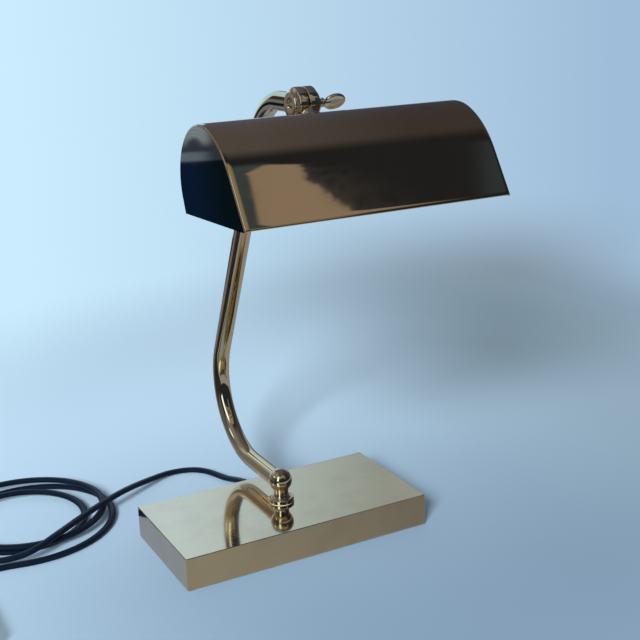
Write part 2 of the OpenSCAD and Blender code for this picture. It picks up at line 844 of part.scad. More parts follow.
module shade_nipple() {
    color("#a9884a") along_spigot(shade_reach - nipple_depth)
        ring(nipple_d, wire_d, nipple_depth + shade_nut_s + nut_h + rod_past - shade_reach);
}

module shade_washer() {
    color("#a9884a") along_spigot(strap_s + strap_t) ring(washer_d, nipple_d + 2 * fit, washer_t);
}

module shade_nut() {
    color("#a9884a") along_spigot(shade_nut_s) nut(nipple_d + 2 * fit);
}

module shade_shell() {
    length = shade_l - 2 * end_t;
    color("#8a6a3a") difference() {
        at_crown() translate([0, 0, -length / 2]) linear_extrude(length) polygon(shade_strip(0, shade_t));
        along_spigot(shade_reach - past) cylinder(d = nipple_d + 2 * fit, h = shade_t + 3 * past);
    }
}

module shade_end_left() {
    color("#8a6a3a") at_crown() translate([0, 0, -shade_l / 2]) shade_end();
}

module shade_end_right() {
    color("#8a6a3a") at_crown() mirror([0, 0, 1]) translate([0, 0, -shade_l / 2]) shade_end();
}

module holder_bracket() {
    tail = strap_w / 2 + 2;
    leg = holder_drop + strap_t + nut_af / 2 + 3;
    color("#9a9a9c") along_spigot(strap_s) difference() {
        union() {
            translate([-leg_x - strap_t, -strap_w / 2, 0]) cube([leg_x + strap_t + tail, strap_w, strap_t]);
            translate([-leg_x - strap_t, -strap_w / 2, 0]) cube([strap_t, strap_w, leg]);
        }
        translate([0, 0, -past]) cylinder(d = nipple_d + 2 * fit, h = strap_t + 2 * past);
        translate([-leg_x - strap_t - past, 0, strap_t + holder_drop]) rotate([0, 90, 0])
            cylinder(d = nipple_d + 2 * fit, h = strap_t + 2 * past);
    }
}

module holder_nipple() {
    color("#a9884a") at_holder() translate([0, 0, -holder_rod]) ring(nipple_d, wire_d, holder_rod + holder_back);
}

module holder_nut() {
    color("#a9884a") at_holder() translate([0, 0, -strap_t - nut_h]) nut(nipple_d + 2 * fit);
}

module lamp_holder() {
    color("#1b1b1d") at_holder() difference() {
        cylinder(d = holder_d, h = holder_l);
        translate([0, 0, holder_back]) cylinder(d = holder_d - 2 * holder_wall, h = holder_l);
        translate([0, 0, -past]) cylinder(d = nipple_d + 2 * fit, h = holder_back + 2 * past);
    }
}

module holder_core() {
    color("#e6e2d8") at_holder() translate([0, 0, holder_back]) difference() {
        cylinder(d = holder_d - 2 * holder_wall - 2 * fit, h = core_l);
        translate([0, 0, core_floor]) cylinder(d = cap_d + 4 * fit, h = holder_l);
    }
}

module holder_contact() {
    color("#b8954e") at_holder() translate([0, 0, holder_back + core_floor])
        cylinder(d = cap_d / 2, h = contact_t);
}

module bulb_cap() {
    color("#c8c9cc") at_holder() translate([0, 0, cap_z]) {
        cylinder(d1 = cap_d / 3, d2 = cap_d, h = cap_tip);
        translate([0, 0, cap_tip]) cylinder(d = cap_d, h = cap_l - cap_tip);
    }
}

module bulb_glass() {
    flare = bulb_d / 2;
    color("#f2f0ea") at_holder() translate([0, 0, glass_z]) {
        cylinder(d1 = cap_d - 1, d2 = bulb_d, h = flare);
        translate([0, 0, flare]) cylinder(d = bulb_d, h = bulb_l - flare - bulb_d / 2);
        translate([0, 0, bulb_l - bulb_d / 2]) sphere(d = bulb_d);
    }
}

base_shell();
base_weight();
base_cover();
cover_screws();
base_felt();
swivel_washer();
stop_peg();
cord_gland();
cord_lead();
cord_coil();
cord_tail();
cord_end();
switch_lower();
switch_upper();
switch_screws();
switch_rocker();
plug_body();
plug_pins();
post_knob();
swivel_nipple();
stop_washer();
spring_washer();
lock_nut();
arm_tube();
knuckle_arm();
knuckle_washer();
thumb_screw();
knuckle_shade();
shade_nipple();
shade_washer();
shade_nut();
shade_shell();
shade_end_left();
shade_end_right();
holder_bracket();
holder_nipple();
holder_nut();
lamp_holder();
holder_core();
holder_contact();
bulb_cap();
bulb_glass();
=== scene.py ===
"""Looks of a brass bankers lamp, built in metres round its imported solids.

X runs along the base, Y to the back and Z up. The origin lies under the
middle of the base. The sizes of turned, bent and moulded pieces are in
millimetres. The camera, the stage and the cord's route are in metres.
"""

import json
import logging
import math
import sys
from dataclasses import dataclass, replace
from enum import Enum
from typing import Optional, Sequence, Union

import bmesh
import bpy
from mathutils import Matrix, Vector

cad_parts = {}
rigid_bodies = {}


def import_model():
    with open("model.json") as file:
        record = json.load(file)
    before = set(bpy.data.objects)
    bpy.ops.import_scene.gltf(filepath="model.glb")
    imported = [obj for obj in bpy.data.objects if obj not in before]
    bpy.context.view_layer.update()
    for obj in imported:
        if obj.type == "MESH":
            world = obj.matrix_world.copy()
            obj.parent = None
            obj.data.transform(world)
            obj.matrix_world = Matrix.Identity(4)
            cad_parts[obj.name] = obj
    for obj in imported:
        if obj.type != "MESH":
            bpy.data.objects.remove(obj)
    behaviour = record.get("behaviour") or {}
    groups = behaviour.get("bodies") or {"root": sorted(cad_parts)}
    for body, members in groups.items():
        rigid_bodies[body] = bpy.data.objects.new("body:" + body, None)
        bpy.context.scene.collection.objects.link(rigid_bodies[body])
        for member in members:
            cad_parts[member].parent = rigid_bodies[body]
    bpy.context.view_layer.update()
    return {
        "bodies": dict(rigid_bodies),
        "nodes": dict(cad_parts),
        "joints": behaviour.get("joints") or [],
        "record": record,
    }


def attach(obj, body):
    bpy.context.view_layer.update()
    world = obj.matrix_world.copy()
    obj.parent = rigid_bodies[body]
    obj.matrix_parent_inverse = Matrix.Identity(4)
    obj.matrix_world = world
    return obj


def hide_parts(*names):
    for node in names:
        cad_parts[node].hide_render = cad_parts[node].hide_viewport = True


log = logging.getLogger("bankers_lamp")

MM = 0.001
WELD = 0.001 * MM
UP = Vector((0.0, 0.0, 1.0))

Pair = tuple[float, float]
Triple = tuple[float, float, float]
Colour = Triple
Outline = tuple[float, float, float, float]
Caps = tuple[bool, bool]
Term = Union["Socket", float, Triple]
Zone = tuple["Socket", Term]
Place = tuple[Vector, Vector]


class Body(Enum):
    """Bodies of the lamp that pieces ride on."""

    BASE = "base"
    ARM = "arm"
    THUMB = "thumb"
    HEAD = "head"
    ROCKER = "rocker"


class Slot(Enum):
    """Material slots of the record."""

    BRASS = "brass"
    SHADE_BRASS = "shade_brass"
    BLACK_PLASTIC = "black_plastic"
    CORD = "cord"
    FELT = "felt"
    PLATED = "plated"
    OPAL_GLASS = "opal_glass"


class FarEnd(Enum):
    """What a stretch of the cord ends in."""

    FITTING = "fitting"
    PLUG = "plug"


class Lay(Enum):
    """How a stretch of the cord lies."""

    COILED = "coiled"
    LOOSE = "loose"


class Measure(Enum):
    """Ways to turn a place and a vector into a number."""

    ALONG = "DOT_PRODUCT"
    FROM = "DISTANCE"


class Socket:
    """A node's output that takes part in Python arithmetic."""

    def __init__(self, graph: "Graph", socket: bpy.types.NodeSocket) -> None:
        """Keeps the graph and its socket."""
        self.graph = graph
        self.socket = socket

    def out(self, name: Union[str, int]) -> "Socket":
        """Returns another output of the same node."""
        return Socket(self.graph, self.socket.node.outputs[name])

    def _math(self, operation: str, *terms: Term) -> "Socket":
        """Adds a Math node over the terms."""
        return self.graph.node("Math", {"operation": operation}, dict(enumerate(terms)))

    def __add__(self, other: Term) -> "Socket":
        """Adds."""
        return self._math("ADD", self, other)

    __radd__ = __add__

    def __sub__(self, other: Term) -> "Socket":
        """Subtracts."""
        return self._math("SUBTRACT", self, other)

    def __rsub__(self, other: Term) -> "Socket":
        """Subtracts from a number."""
        return self._math("SUBTRACT", other, self)

    def __mul__(self, other: Term) -> "Socket":
        """Multiplies."""
        return self._math("MULTIPLY", self, other)

    __rmul__ = __mul__

    def ramp(self, low: float, high: float, even: bool = False) -> "Socket":
        """Maps a range onto 0 to 1 and holds it outside.

        Args:
            low: Value where the change starts.
            high: Value where the change ends.
            even: Whether the change is even, not eased at its ends.

        Returns:
            The mapped value.
        """
        return self.graph.node(
            "MapRange",
            {"interpolation_type": "LINEAR" if even else "SMOOTHSTEP"},
            {"Value": self, "From Min": low, "From Max": high},
        )


class Graph:
    """A node tree that is written as expressions."""

    def __init__(self, tree: bpy.types.NodeTree) -> None:
        """Empties the tree and keeps it."""
        tree.nodes.clear()
        self.tree = tree

    def node(
        self,
        kind: str,
        settings: Optional[dict] = None,
        inputs: Optional[dict] = None,
        out: Union[str, int] = 0,
    ) -> Socket:
        """Adds a node.

        Args:
            kind: Type of the node, without its common prefix.
            settings: Properties of the node, which are set first.
            inputs: Values or links by the socket's name or number.
            out: Output that is handed back.

        Returns:
            The output, or the first input of a node that has no output.
        """
        made = self.tree.nodes.new("ShaderNode" + kind)
        for name, value in (settings or {}).items():
            setattr(made, name, value)
        for name, value in (inputs or {}).items():
            socket = made.inputs[name]
            if isinstance(value, Socket):
                self.tree.links.new(value.socket, socket)
            else:
                socket.default_value = (*value, 1.0) if socket.type == "RGBA" else value
        return Socket(self, (made.outputs or made.inputs)[out])

    def principled(self, inputs: dict) -> Socket:
        """Adds the main surface shader with these values or links."""
        return self.node("BsdfPrincipled", inputs=inputs)

    def where(self, stretch: Triple = (1.0, 1.0, 1.0)) -> Socket:
        """Returns the place on the piece, stretched along the main axes."""
        place = self.node("TexCoord", out="Object")
        return self.node("Mapping", inputs={"Vector": place, "Scale": stretch})

    def noise(self, place: Socket, scale: float, detail: float = 3.0, rough: float = 0.55) -> Socket:
        """Returns a noise from 0 to 1, with so many patches per metre at a place."""
        return self.node("TexNoise", inputs={"Vector": place, "Scale": scale, "Detail": detail, "Roughness": rough})

    def mix(self, share: Term, first: Term, second: Term) -> Socket:
        """Blends two colours by the share of the second."""
        return self.node("Mix", {"data_type": "RGBA"}, {0: share, 6: first, 7: second}, out=2)

    def measure(self, way: Measure, place: Socket, other: Triple) -> Socket:
        """Returns a place's share along a vector or its distance from it."""
        return self.node("VectorMath", {"operation": way.value}, {0: place, 1: other}, out="Value")

    def bump(self, height: Socket, depth: float) -> Socket:
        """Returns a normal for a surface with a relief of that depth."""
        return self.node("Bump", inputs={"Height": height, "Distance": depth, "Strength": 1.0})


@dataclass(frozen=True)
class Finish:
    """A surface finish, which becomes one material."""

    name: str

    def material(self) -> bpy.types.Material:
        """Makes the finish's material where it is first used.

        Returns:
            The material.
        """
        made = bpy.data.materials.get(self.name)
        if made is None:
            made = bpy.data.materials.new(self.name)
            made.use_nodes = True
            graph = Graph(made.node_tree)
            graph.node("OutputMaterial", inputs={"Surface": self.shader(graph)})
        return made

    def shader(self, graph: Graph) -> Socket:
        """Writes the finish's shader into its graph."""
        raise NotImplementedError(self.name)


@dataclass(frozen=True)
class Metal(Finish):
    """Polished or plated metal with tarnish clouds and polishing lines."""

    tone: Colour
    tarnish: Colour
    gloss: float
    haze: float
    lines: Triple
    relief: float = 0.02 * MM
    lacquer: float = 0.0
    stain: float = 0.5

    def shader(self, graph: Graph) -> Socket:
        """Writes the metal's shader.

        Args:
            graph: Graph of the material.

        Returns:
            The shader.
        """
        place = graph.where()
        clouds = graph.noise(place, 34.0, 5.0).ramp(0.42, 0.7)
        spots = graph.noise(place, 420.0, 2.0).ramp(0.62, 0.74)
        strokes = graph.noise(graph.where(self.lines), 1.0, 4.0, 0.65)
        stain = clouds * self.stain + spots * (0.6 * self.stain)
        return graph.principled({
            "Base Color": graph.mix(stain, self.tone, self.tarnish),
            "Metallic": 1.0,
            "Roughness": self.gloss + clouds * self.haze + spots * (0.6 * self.haze) + strokes * (0.5 * self.haze),
            "Normal": graph.bump(strokes, self.relief),
            "Coat Weight": self.lacquer,
            "Coat Roughness": 0.03,
        })


@dataclass(frozen=True)
class Casting(Finish):
    """Rough cast iron."""

    tone: Colour
    rust: Colour

    def shader(self, graph: Graph) -> Socket:
        """Writes the casting's shader.

        Args:
            graph: Graph of the material.

        Returns:
            The shader.
        """
        place = graph.where()
        sand = graph.noise(place, 700.0, 4.0, 0.7)
        bloom = graph.noise(place, 55.0, 5.0).ramp(0.52, 0.75)
        return graph.principled({
            "Base Color": graph.mix(bloom, self.tone, self.rust),
            "Metallic": 0.55,
            "Roughness": 0.55 + sand * 0.35,
            "Normal": graph.bump(sand, 0.25 * MM),
        })


@dataclass(frozen=True)
class Felt(Finish):
    """Pressed wool with matted fibres."""

    dark: Colour
    light: Colour

    def shader(self, graph: Graph) -> Socket:
        """Writes the felt's shader.

        Args:
            graph: Graph of the material.

        Returns:
            The shader.
        """
        fibres = graph.noise(graph.where((1.0, 0.35, 1.0)), 2600.0, 4.0, 0.7)
        across = graph.noise(graph.where((0.35, 1.0, 1.0)), 2600.0, 4.0, 0.7)
        mats = graph.noise(graph.where(), 130.0, 4.0)
        tuft = fibres * 0.5 + across * 0.5
        return graph.principled({
            "Base Color": graph.mix((tuft * 0.6 + mats * 0.4).ramp(0.35, 0.65), self.dark, self.light),
            "Roughness": 0.9 + mats * 0.1,
            "Normal": graph.bump(tuft, 0.4 * MM),
            "Sheen Weight": 0.35,
            "Sheen Roughness": 0.5,
        })


@dataclass(frozen=True)
class Moulded(Finish):
    """Moulded plastic, fibre or rubber with a fine spark-eroded grain."""

    tone: Colour
    worn: Colour
    rough: float
    grain: float
    depth: float
    shine: float = 0.5

    def shader(self, graph: Graph) -> Socket:
        """Writes the moulding's shader.

        Args:
            graph: Graph of the material.

        Returns:
            The shader.
        """
        place = graph.where()
        grain = graph.noise(place, self.grain, 3.0, 0.6)
        scuffs = graph.noise(graph.where((1.0, 0.25, 1.0)), 210.0, 5.0, 0.7).ramp(0.55, 0.8)
        dust = graph.noise(place, 60.0, 4.0).ramp(0.45, 0.75)
        return graph.principled({
            "Base Color": graph.mix(scuffs * 0.5 + dust * 0.3, self.tone, self.worn),
            "Roughness": self.rough + scuffs * 0.12 + grain * 0.1,
            "Specular IOR Level": self.shine,
            "Normal": graph.bump(grain, self.depth),
        })


@dataclass(frozen=True)
class Glazed(Finish):
    """Glazed ceramic or opal glass."""

    tone: Colour
    shadow: Colour
    rough: float
    coat: float

    def shader(self, graph: Graph) -> Socket:
        """Writes the glaze's shader.

        Args:
            graph: Graph of the material.

        Returns:
            The shader.
        """
        place = graph.where()
        body = graph.noise(place, 70.0, 4.0)
        dust = graph.noise(place, 900.0, 3.0).ramp(0.6, 0.78)
        return graph.principled({
            "Base Color": graph.mix(body * 0.5 + dust * 0.25, self.tone, self.shadow),
            "Roughness": self.rough + dust * 0.2,
            "Normal": graph.bump(body, 0.05 * MM),
            "Coat Weight": self.coat,
            "Coat Roughness": 0.04,
        })


@dataclass(frozen=True)
class Paper(Finish):
    """Pale studio paper under the lamp, which fades out towards its rim; its tone is painted light, brighter towards
    the back, with painted shade towards the front and the right.
    """

    # Tones of painted light and shade: a darker front end, a bright back end and a darker right side.
    shaded_tone: Colour
    bright: Colour
    side: Colour
    slope: Triple
    span: Pair
    right_shade_span: Pair
    middle: Triple
    fade: Pair

    def shader(self, graph: Graph) -> Socket:
        """Writes the paper's shader.

        Args:
            graph: Graph of the material.

        Returns:
            The shader.
        """
        place = graph.where()
        tooth = graph.noise(place, 1500.0, 3.0)
        tint = graph.noise(place, 2.5, 2.0)
        along = graph.measure(Measure.ALONG, place, self.slope)
        reach = graph.measure(Measure.FROM, place, self.middle)
        # painted shade: the paper turns darker towards the right
        right = graph.node("SeparateXYZ", inputs={"Vector": place}).ramp(*self.right_shade_span)
        # painted light: the paper is brighter towards the back and darker towards the front
        tone = graph.mix((along + tint * 0.08 - 0.04).ramp(*self.span), self.shaded_tone, self.bright)
        paper = graph.principled({
            "Base Color": graph.mix(right, tone, self.side),
            "Roughness": 0.75 + tooth * 0.1,
            "Normal": graph.bump(tooth, 0.02 * MM),
        })
        clear = graph.node("BsdfTransparent")
        return graph.node("MixShader", inputs={0: reach.ramp(*self.fade), 1: paper, 2: clear})


@dataclass(frozen=True)
class Card(Finish):
    """Glowing studio card whose tone changes evenly along a slope; it is seen only in mirrors, as a painted
    reflection.
    """

    start: Colour
    end: Colour
    slope: Triple
    span: Pair

    def shader(self, graph: Graph) -> Socket:
        """Writes the card's shader.

        Args:
            graph: Graph of the material.

        Returns:
            The shader.
        """
        along = graph.measure(Measure.ALONG, graph.where(), self.slope)
        return graph.principled({
            "Base Color": (0.0, 0.0, 0.0),
            "Roughness": 1.0,
            "Specular IOR Level": 0.0,
            # painted reflection: the card glows in this tone
            "Emission Color": graph.mix(along.ramp(*self.span, even=True), self.start, self.end),
            "Emission Strength": 1.0,
        })


ARM_BRASS = Metal(
    "polished_brass", (0.86, 0.66, 0.385), (0.76, 0.55, 0.3), 0.035, 0.02, (900.0, 140.0, 140.0),
    relief=0.0015 * MM, lacquer=0.5, stain=0.25,
)
THUMB_BRASS = replace(ARM_BRASS, name="thumb_brass", tone=(0.86, 0.74, 0.54), tarnish=(0.76, 0.64, 0.45))
JOINT_BRASS = replace(
    ARM_BRASS, name="joint_brass", tone=(0.93, 0.70, 0.41), tarnish=(0.58, 0.43, 0.25),
    gloss=0.06, haze=0.06, lacquer=0.4, stain=0.5,
)
BASE_BRASS = Metal(
    "base_brass", (0.82, 0.665, 0.445), (0.68, 0.52, 0.34), 0.07, 0.03, (40.0, 1400.0, 1400.0),
    relief=0.001 * MM, lacquer=0.9, stain=0.36,
)
SHADE_BRASS = Metal(
    "shade_brass_sheet", (0.78, 0.51, 0.25), (0.70, 0.45, 0.21), 0.02, 0.015, (30.0, 900.0, 900.0),
    relief=0.0006 * MM, lacquer=0.7, stain=0.25,
)
BARE_BRASS = Metal("bare_brass", (0.72, 0.50, 0.24), (0.42, 0.29, 0.15), 0.26, 0.14, (700.0, 700.0, 90.0))
ZINC_STEEL = Metal("zinc_steel", (0.60, 0.61, 0.62), (0.42, 0.42, 0.40), 0.32, 0.14, (160.0, 900.0, 900.0))
NICKEL = Metal("nickel_plate", (0.70, 0.68, 0.64), (0.52, 0.50, 0.46), 0.16, 0.1, (900.0, 120.0, 900.0))
IRON = Casting("cast_iron", (0.055, 0.055, 0.058), (0.10, 0.055, 0.032))
GREEN_FELT = Felt("base_felt_wool", (0.012, 0.016, 0.014), (0.035, 0.045, 0.040))
NYLON = Moulded("natural_nylon", (0.70, 0.67, 0.58), (0.58, 0.55, 0.47), 0.42, 1500.0, 0.02 * MM)
FIBRE = Moulded("red_fibre", (0.12, 0.055, 0.03), (0.07, 0.035, 0.02), 0.7, 2400.0, 0.05 * MM)
FLEX = Moulded("cord_sheath", (0.003, 0.007, 0.017), (0.008, 0.016, 0.034), 0.36, 3200.0, 0.02 * MM, 0.2)
PLASTIC = Moulded("black_moulding", (0.011, 0.012, 0.015), (0.035, 0.037, 0.042), 0.34, 2600.0, 0.03 * MM)
RELIEF = Moulded("black_soft_moulding", (0.012, 0.013, 0.016), (0.032, 0.034, 0.038), 0.5, 2200.0, 0.03 * MM)
CERAMIC = Glazed("white_ceramic", (0.80, 0.78, 0.72), (0.66, 0.64, 0.58), 0.3, 0.8)
OPAL = Glazed("opal_glass", (0.86, 0.85, 0.81), (0.78, 0.77, 0.72), 0.12, 0.6)
# Floor paper whose tones are painted light and shade: bright to the back, darker to the front and to the right.
FLOOR_PAPER = Paper(
    "blue_paper", shaded_tone=(0.234, 0.348, 0.475), bright=(0.58, 0.80, 1.0), side=(0.345, 0.485, 0.6),
    slope=(-0.12, 0.95, 0.0), span=(-0.22, 0.38), right_shade_span=(0.15, 0.6), middle=(0.25, 0.15, 0.0), fade=(0.38, 0.82),
)
# Painted reflections: glowing cards that only polished metal mirrors, of the backdrop, the floor, a darker strip in
# front of the base and a sheet to the left that is dark near the lamp.
BACK_CARD = Card("mirrored_backdrop", (0.58, 0.80, 1.02), (0.33, 0.41, 0.44), (1.0, 0.0, 0.0), (0.10, 0.45))
FLOOR_CARD = Card("mirrored_floor", (0.25, 0.32, 0.42), (0.28, 0.31, 0.36), (1.0, 0.0, 0.0), (-0.2, 0.2))
FRONT_CARD = Card("mirrored_front", (0.27, 0.285, 0.275), (0.178, 0.187, 0.197), (1.0, 0.0, 0.0), (-0.08, 0.13))
LEFT_CARD = Card("mirrored_left", (0.03, 0.028, 0.032), (0.17, 0.19, 0.27), (0.0, 1.0, 0.0), (0.3, 0.43))


def turn(axis: str, degrees: float) -> Matrix:
    """Returns a turn about a main axis."""
    return Matrix.Rotation(math.radians(degrees), 4, axis)


def shift(x: float = 0.0, y: float = 0.0, z: float = 0.0) -> Matrix:
    """Returns a move along the main axes."""
    return Matrix.Translation((x, y, z))


def circle(radius: float, sides: int, flat: float = 1.0) -> list[Pair]:
    """Returns points round an oval whose second radius is flat times the first."""
    angles = (2.0 * math.pi * i / sides for i in range(sides))
    return [(radius * math.cos(a), flat * radius * math.sin(a)) for a in angles]


def eased(corners: Sequence[Triple], steps: int = 5) -> list[Pair]:
    """Rounds the corners of an open line.

    Args:
        corners: Two coordinates and a rounding radius for each corner.
        steps: Stretches in each rounding.

    Returns:
        The line with an arc in place of each rounded corner.
    """
    line: list[Pair] = []
    for i, (u, v, radius) in enumerate(corners):
        if radius <= 0.0 or i in (0, len(corners) - 1):
            line.append((u, v))
            continue
        here = Vector((u, v))
        back = Vector(corners[i - 1][:2]) - here
        ahead = Vector(corners[i + 1][:2]) - here
        half = back.angle(ahead) / 2.0
        cut = min(radius / math.tan(half), 0.49 * min(back.length, ahead.length))
        back.normalize()
        ahead.normalize()
        size = cut * math.tan(half)
        middle = here + (back + ahead).normalized() * (size / math.sin(half))
        first = here + back * cut - middle
        last = here + ahead * cut - middle
        start = math.atan2(first.y, first.x)
        sweep = (math.atan2(last.y, last.x) - start + math.pi) % (2.0 * math.pi) - math.pi
        for k in range(steps + 1):
            angle = start + sweep * k / steps
            line.append((middle.x + size * math.cos(angle), middle.y + size * math.sin(angle)))
    return line


def rounded_rectangle(width: float, length: float, radius: float, steps: int = 6) -> list[Pair]:
    """Returns the outline of a rectangle with round corners.

    Args:
        width: Size along the first axis.
        length: Size along the second axis.
        radius: Radius of the corners.
        steps: Stretches in each corner.

    Returns:
        The outline's points, counter-clockwise.
    """
    radius = max(radius, 0.01)
    points: list[Pair] = []
    for corner, (sx, sy) in enumerate(((1, 1), (-1, 1), (-1, -1), (1, -1))):
        for k in range(steps + 1):
            angle = math.pi / 2.0 * (corner + k / steps)
            x = sx * (width / 2.0 - radius) + radius * math.cos(angle)
            points.append((x, sy * (length / 2.0 - radius) + radius * math.sin(angle)))
    return points


def through(points: Sequence[Vector], parts: int) -> list[Vector]:
    """Draws a smooth line through points.

    Args:
        points: Points of a route.
        parts: Stretches between two points.

    Returns:
        The points with others between them.
    """
    line: list[Vector] = []
    last = len(points) - 1
    for i in range(last):
        a, b, c, d = points[max(i - 1, 0)], points[i], points[i + 1], points[min(i + 2, last)]
        for k in range(parts):
            t = k / parts
            bent = (2.0 * a - 5.0 * b + 4.0 * c - d) * t**2 + (3.0 * b - a - 3.0 * c + d) * t**3
            line.append((2.0 * b + (c - a) * t + bent) / 2.0)
    line.append(points[last])
    return line


class Workpiece:
    """A mesh that is put together from skinned rings of points."""

    def __init__(self, unit: float = MM) -> None:
        """Starts with nothing.

        Args:
            unit: Size of the unit that points are measured in, in metres.
        """
        self.unit = unit
        self.points: list[Vector] = []
        self.faces: list[tuple[int, ...]] = []

    def loft(self, rings: Sequence[Sequence[Vector]], caps: Caps = (True, True)) -> "Workpiece":
        """Skins a row of closed rings.

        Args:
            rings: Rings with the same number of points each.
            caps: Whether the first and the last ring are filled.

        Returns:
            The workpiece.
        """
        first, size = len(self.points), len(rings[0])
        for ring in rings:
            self.points.extend(ring)
        for i in range(len(rings) - 1):
            low, high = first + i * size, first + (i + 1) * size
            for j in range(size):
                k = (j + 1) % size
                self.faces.append((low + j, low + k, high + k, high + j))
        last = first + (len(rings) - 1) * size
        if caps[0]:
            self.faces.append(tuple(range(first + size - 1, first - 1, -1)))
        if caps[1]:
            self.faces.append(tuple(range(last, last + size)))
        return self

    def lathe(self, profile: Sequence[Pair], place: Matrix, sides: int = 72) -> "Workpiece":
        """Turns a profile of radius and height round the Z axis of a place."""
        rings = [[place @ Vector((x, y, z)) for x, y in circle(r, sides)] for r, z in profile]
        return self.loft(rings, (False, False))

    def stack(
        self, outlines: Sequence[Outline], place: Matrix, steps: int = 6, caps: Caps = (True, True)
    ) -> "Workpiece":
        """Stacks rounded rectangles.

        Args:
            outlines: Width, length, corner radius and height of each outline.
            place: Where the stack stands.
            steps: Stretches in each corner.
            caps: Whether the first and the last outline are filled.

        Returns:
            The workpiece.
        """
        rings = [
            [place @ Vector((x, y, z)) for x, y in rounded_rectangle(wide, long, corner, steps)]
            for wide, long, corner, z in outlines
        ]
        return self.loft(rings, caps)

    def slab(self, size: Triple, profile: Sequence[Pair], place: Matrix, caps: Caps = (True, True)) -> "Workpiece":
        """Stacks one outline that is set in by a profile.

        Args:
            size: Width, length and corner radius of the full outline.
            profile: Inset and height of each layer.
            place: Where the stack stands.
            caps: Whether the first and the last layer are filled.

        Returns:
            The workpiece.
        """
        wide, long, corner = size
        outlines = [(wide - 2.0 * inset, long - 2.0 * inset, corner - inset, z) for inset, z in profile]
        return self.stack(outlines, place, caps=caps)

    def sweep(
        self, line: Sequence[Vector], section: Sequence[Pair], side: Optional[Vector] = None, caps: Caps = (True, True)
    ) -> "Workpiece":
        """Carries a section along a line.

        Args:
            line: Centre line.
            section: Points of the section, across and up.
            side: Direction across, which stays level where none is given.
            caps: Whether the ends are filled.

        Returns:
            The workpiece.
        """
        rings = []
        last = len(line) - 1
        for i, point in enumerate(line):
            ahead = (line[min(i + 1, last)] - line[max(i - 1, 0)]).normalized()
            across = UP.cross(ahead).normalized() if side is None else side
            up = ahead.cross(across)
            rings.append([point + u * across + v * up for u, v in section])
        return self.loft(rings, caps)

    def make(self, name: str, crease: float = 38.0) -> bpy.types.Object:
        """Makes the object.

        Args:
            name: Name of the piece.
            crease: Angle in degrees from which an edge stays sharp.

        Returns:
            The object.
        """
        mesh = bpy.data.meshes.new(name)
        mesh.from_pydata([point * self.unit for point in self.points], [], self.faces)
        work = bmesh.new()
        work.from_mesh(mesh)
        bmesh.ops.remove_doubles(work, verts=work.verts, dist=WELD)
        bmesh.ops.recalc_face_normals(work, faces=work.faces)
        for face in work.faces:
            face.smooth = True
        for edge in work.edges:
            edge.smooth = edge.calc_face_angle(0.0) < math.radians(crease)
        work.to_mesh(mesh)
        work.free()
        piece = bpy.data.objects.new(name, mesh)
        bpy.context.collection.objects.link(piece)
        return piece


@dataclass
class Assembly:
    """A group of the lamp's pieces."""

    frame: dict

    def place(
        self, piece: bpy.types.Object, body: Body, finish: Finish, slot: Slot, *nodes: str
    ) -> bpy.types.Object:
        """Dresses a piece, sets it on its body and reports it.

        Args:
            piece: The piece, already where it belongs.
            body: Body that it rides on.
            finish: Its finish.
            slot: Material slot of the record; not used.
            nodes: Solids that the piece stands for.

        Returns:
            The piece.
        """
        piece.data.materials.clear()
        piece.data.materials.append(finish.material())
        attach(piece, body.value)
        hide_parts(*nodes)
        log.info("%s rides on %s and stands for %s", piece.name, body.value, ", ".join(nodes))
        return piece

    def dress(self, finish: Finish, *nodes: str) -> None:
        """Gives solids that stay in view their finish.

        Args:
            finish: The finish.
            nodes: Names of the solids.
        """
        for name in nodes:
            solid = self.frame["nodes"][name]
            for slot in solid.material_slots:
                slot.material = finish.material()
            log.info("%s is dressed in %s", name, finish.name)


@dataclass
class Shot:
    """The camera, at the photograph's place."""

    azimuth: float = -27.391
    elevation: float = 16.244
    roll: float = -2.208
    distance: float = 0.965089
    target: Triple = (0.047378, 0.006444, 0.180)
    lens: float = 64.29
    sensor: float = 36.0

    def build(self) -> None:
        """Makes the camera and sets the way colours are shown."""
        az, el, roll = (math.radians(a) for a in (self.azimuth, self.elevation, self.roll))
        back = Vector((math.sin(az) * math.cos(el), -math.cos(az) * math.cos(el), math.sin(el)))
        right = UP.cross(back).normalized()
        up = back.cross(right)
        across = math.cos(roll) * right + math.sin(roll) * up
        upward = -math.sin(roll) * right + math.cos(roll) * up
        data = bpy.data.cameras.new("shot")
        data.lens, data.sensor_width = self.lens, self.sensor
        camera = bpy.data.objects.new("shot", data)
        turned = Matrix((across, upward, back)).transposed().to_4x4()
        camera.matrix_world = Matrix.Translation(Vector(self.target) + back * self.distance) @ turned
        bpy.context.collection.objects.link(camera)
        scene = bpy.context.scene
        scene.camera = camera
        scene.view_settings.view_transform = "Standard"
        log.info("camera stands at %s", tuple(round(c, 3) for c in camera.matrix_world.translation))


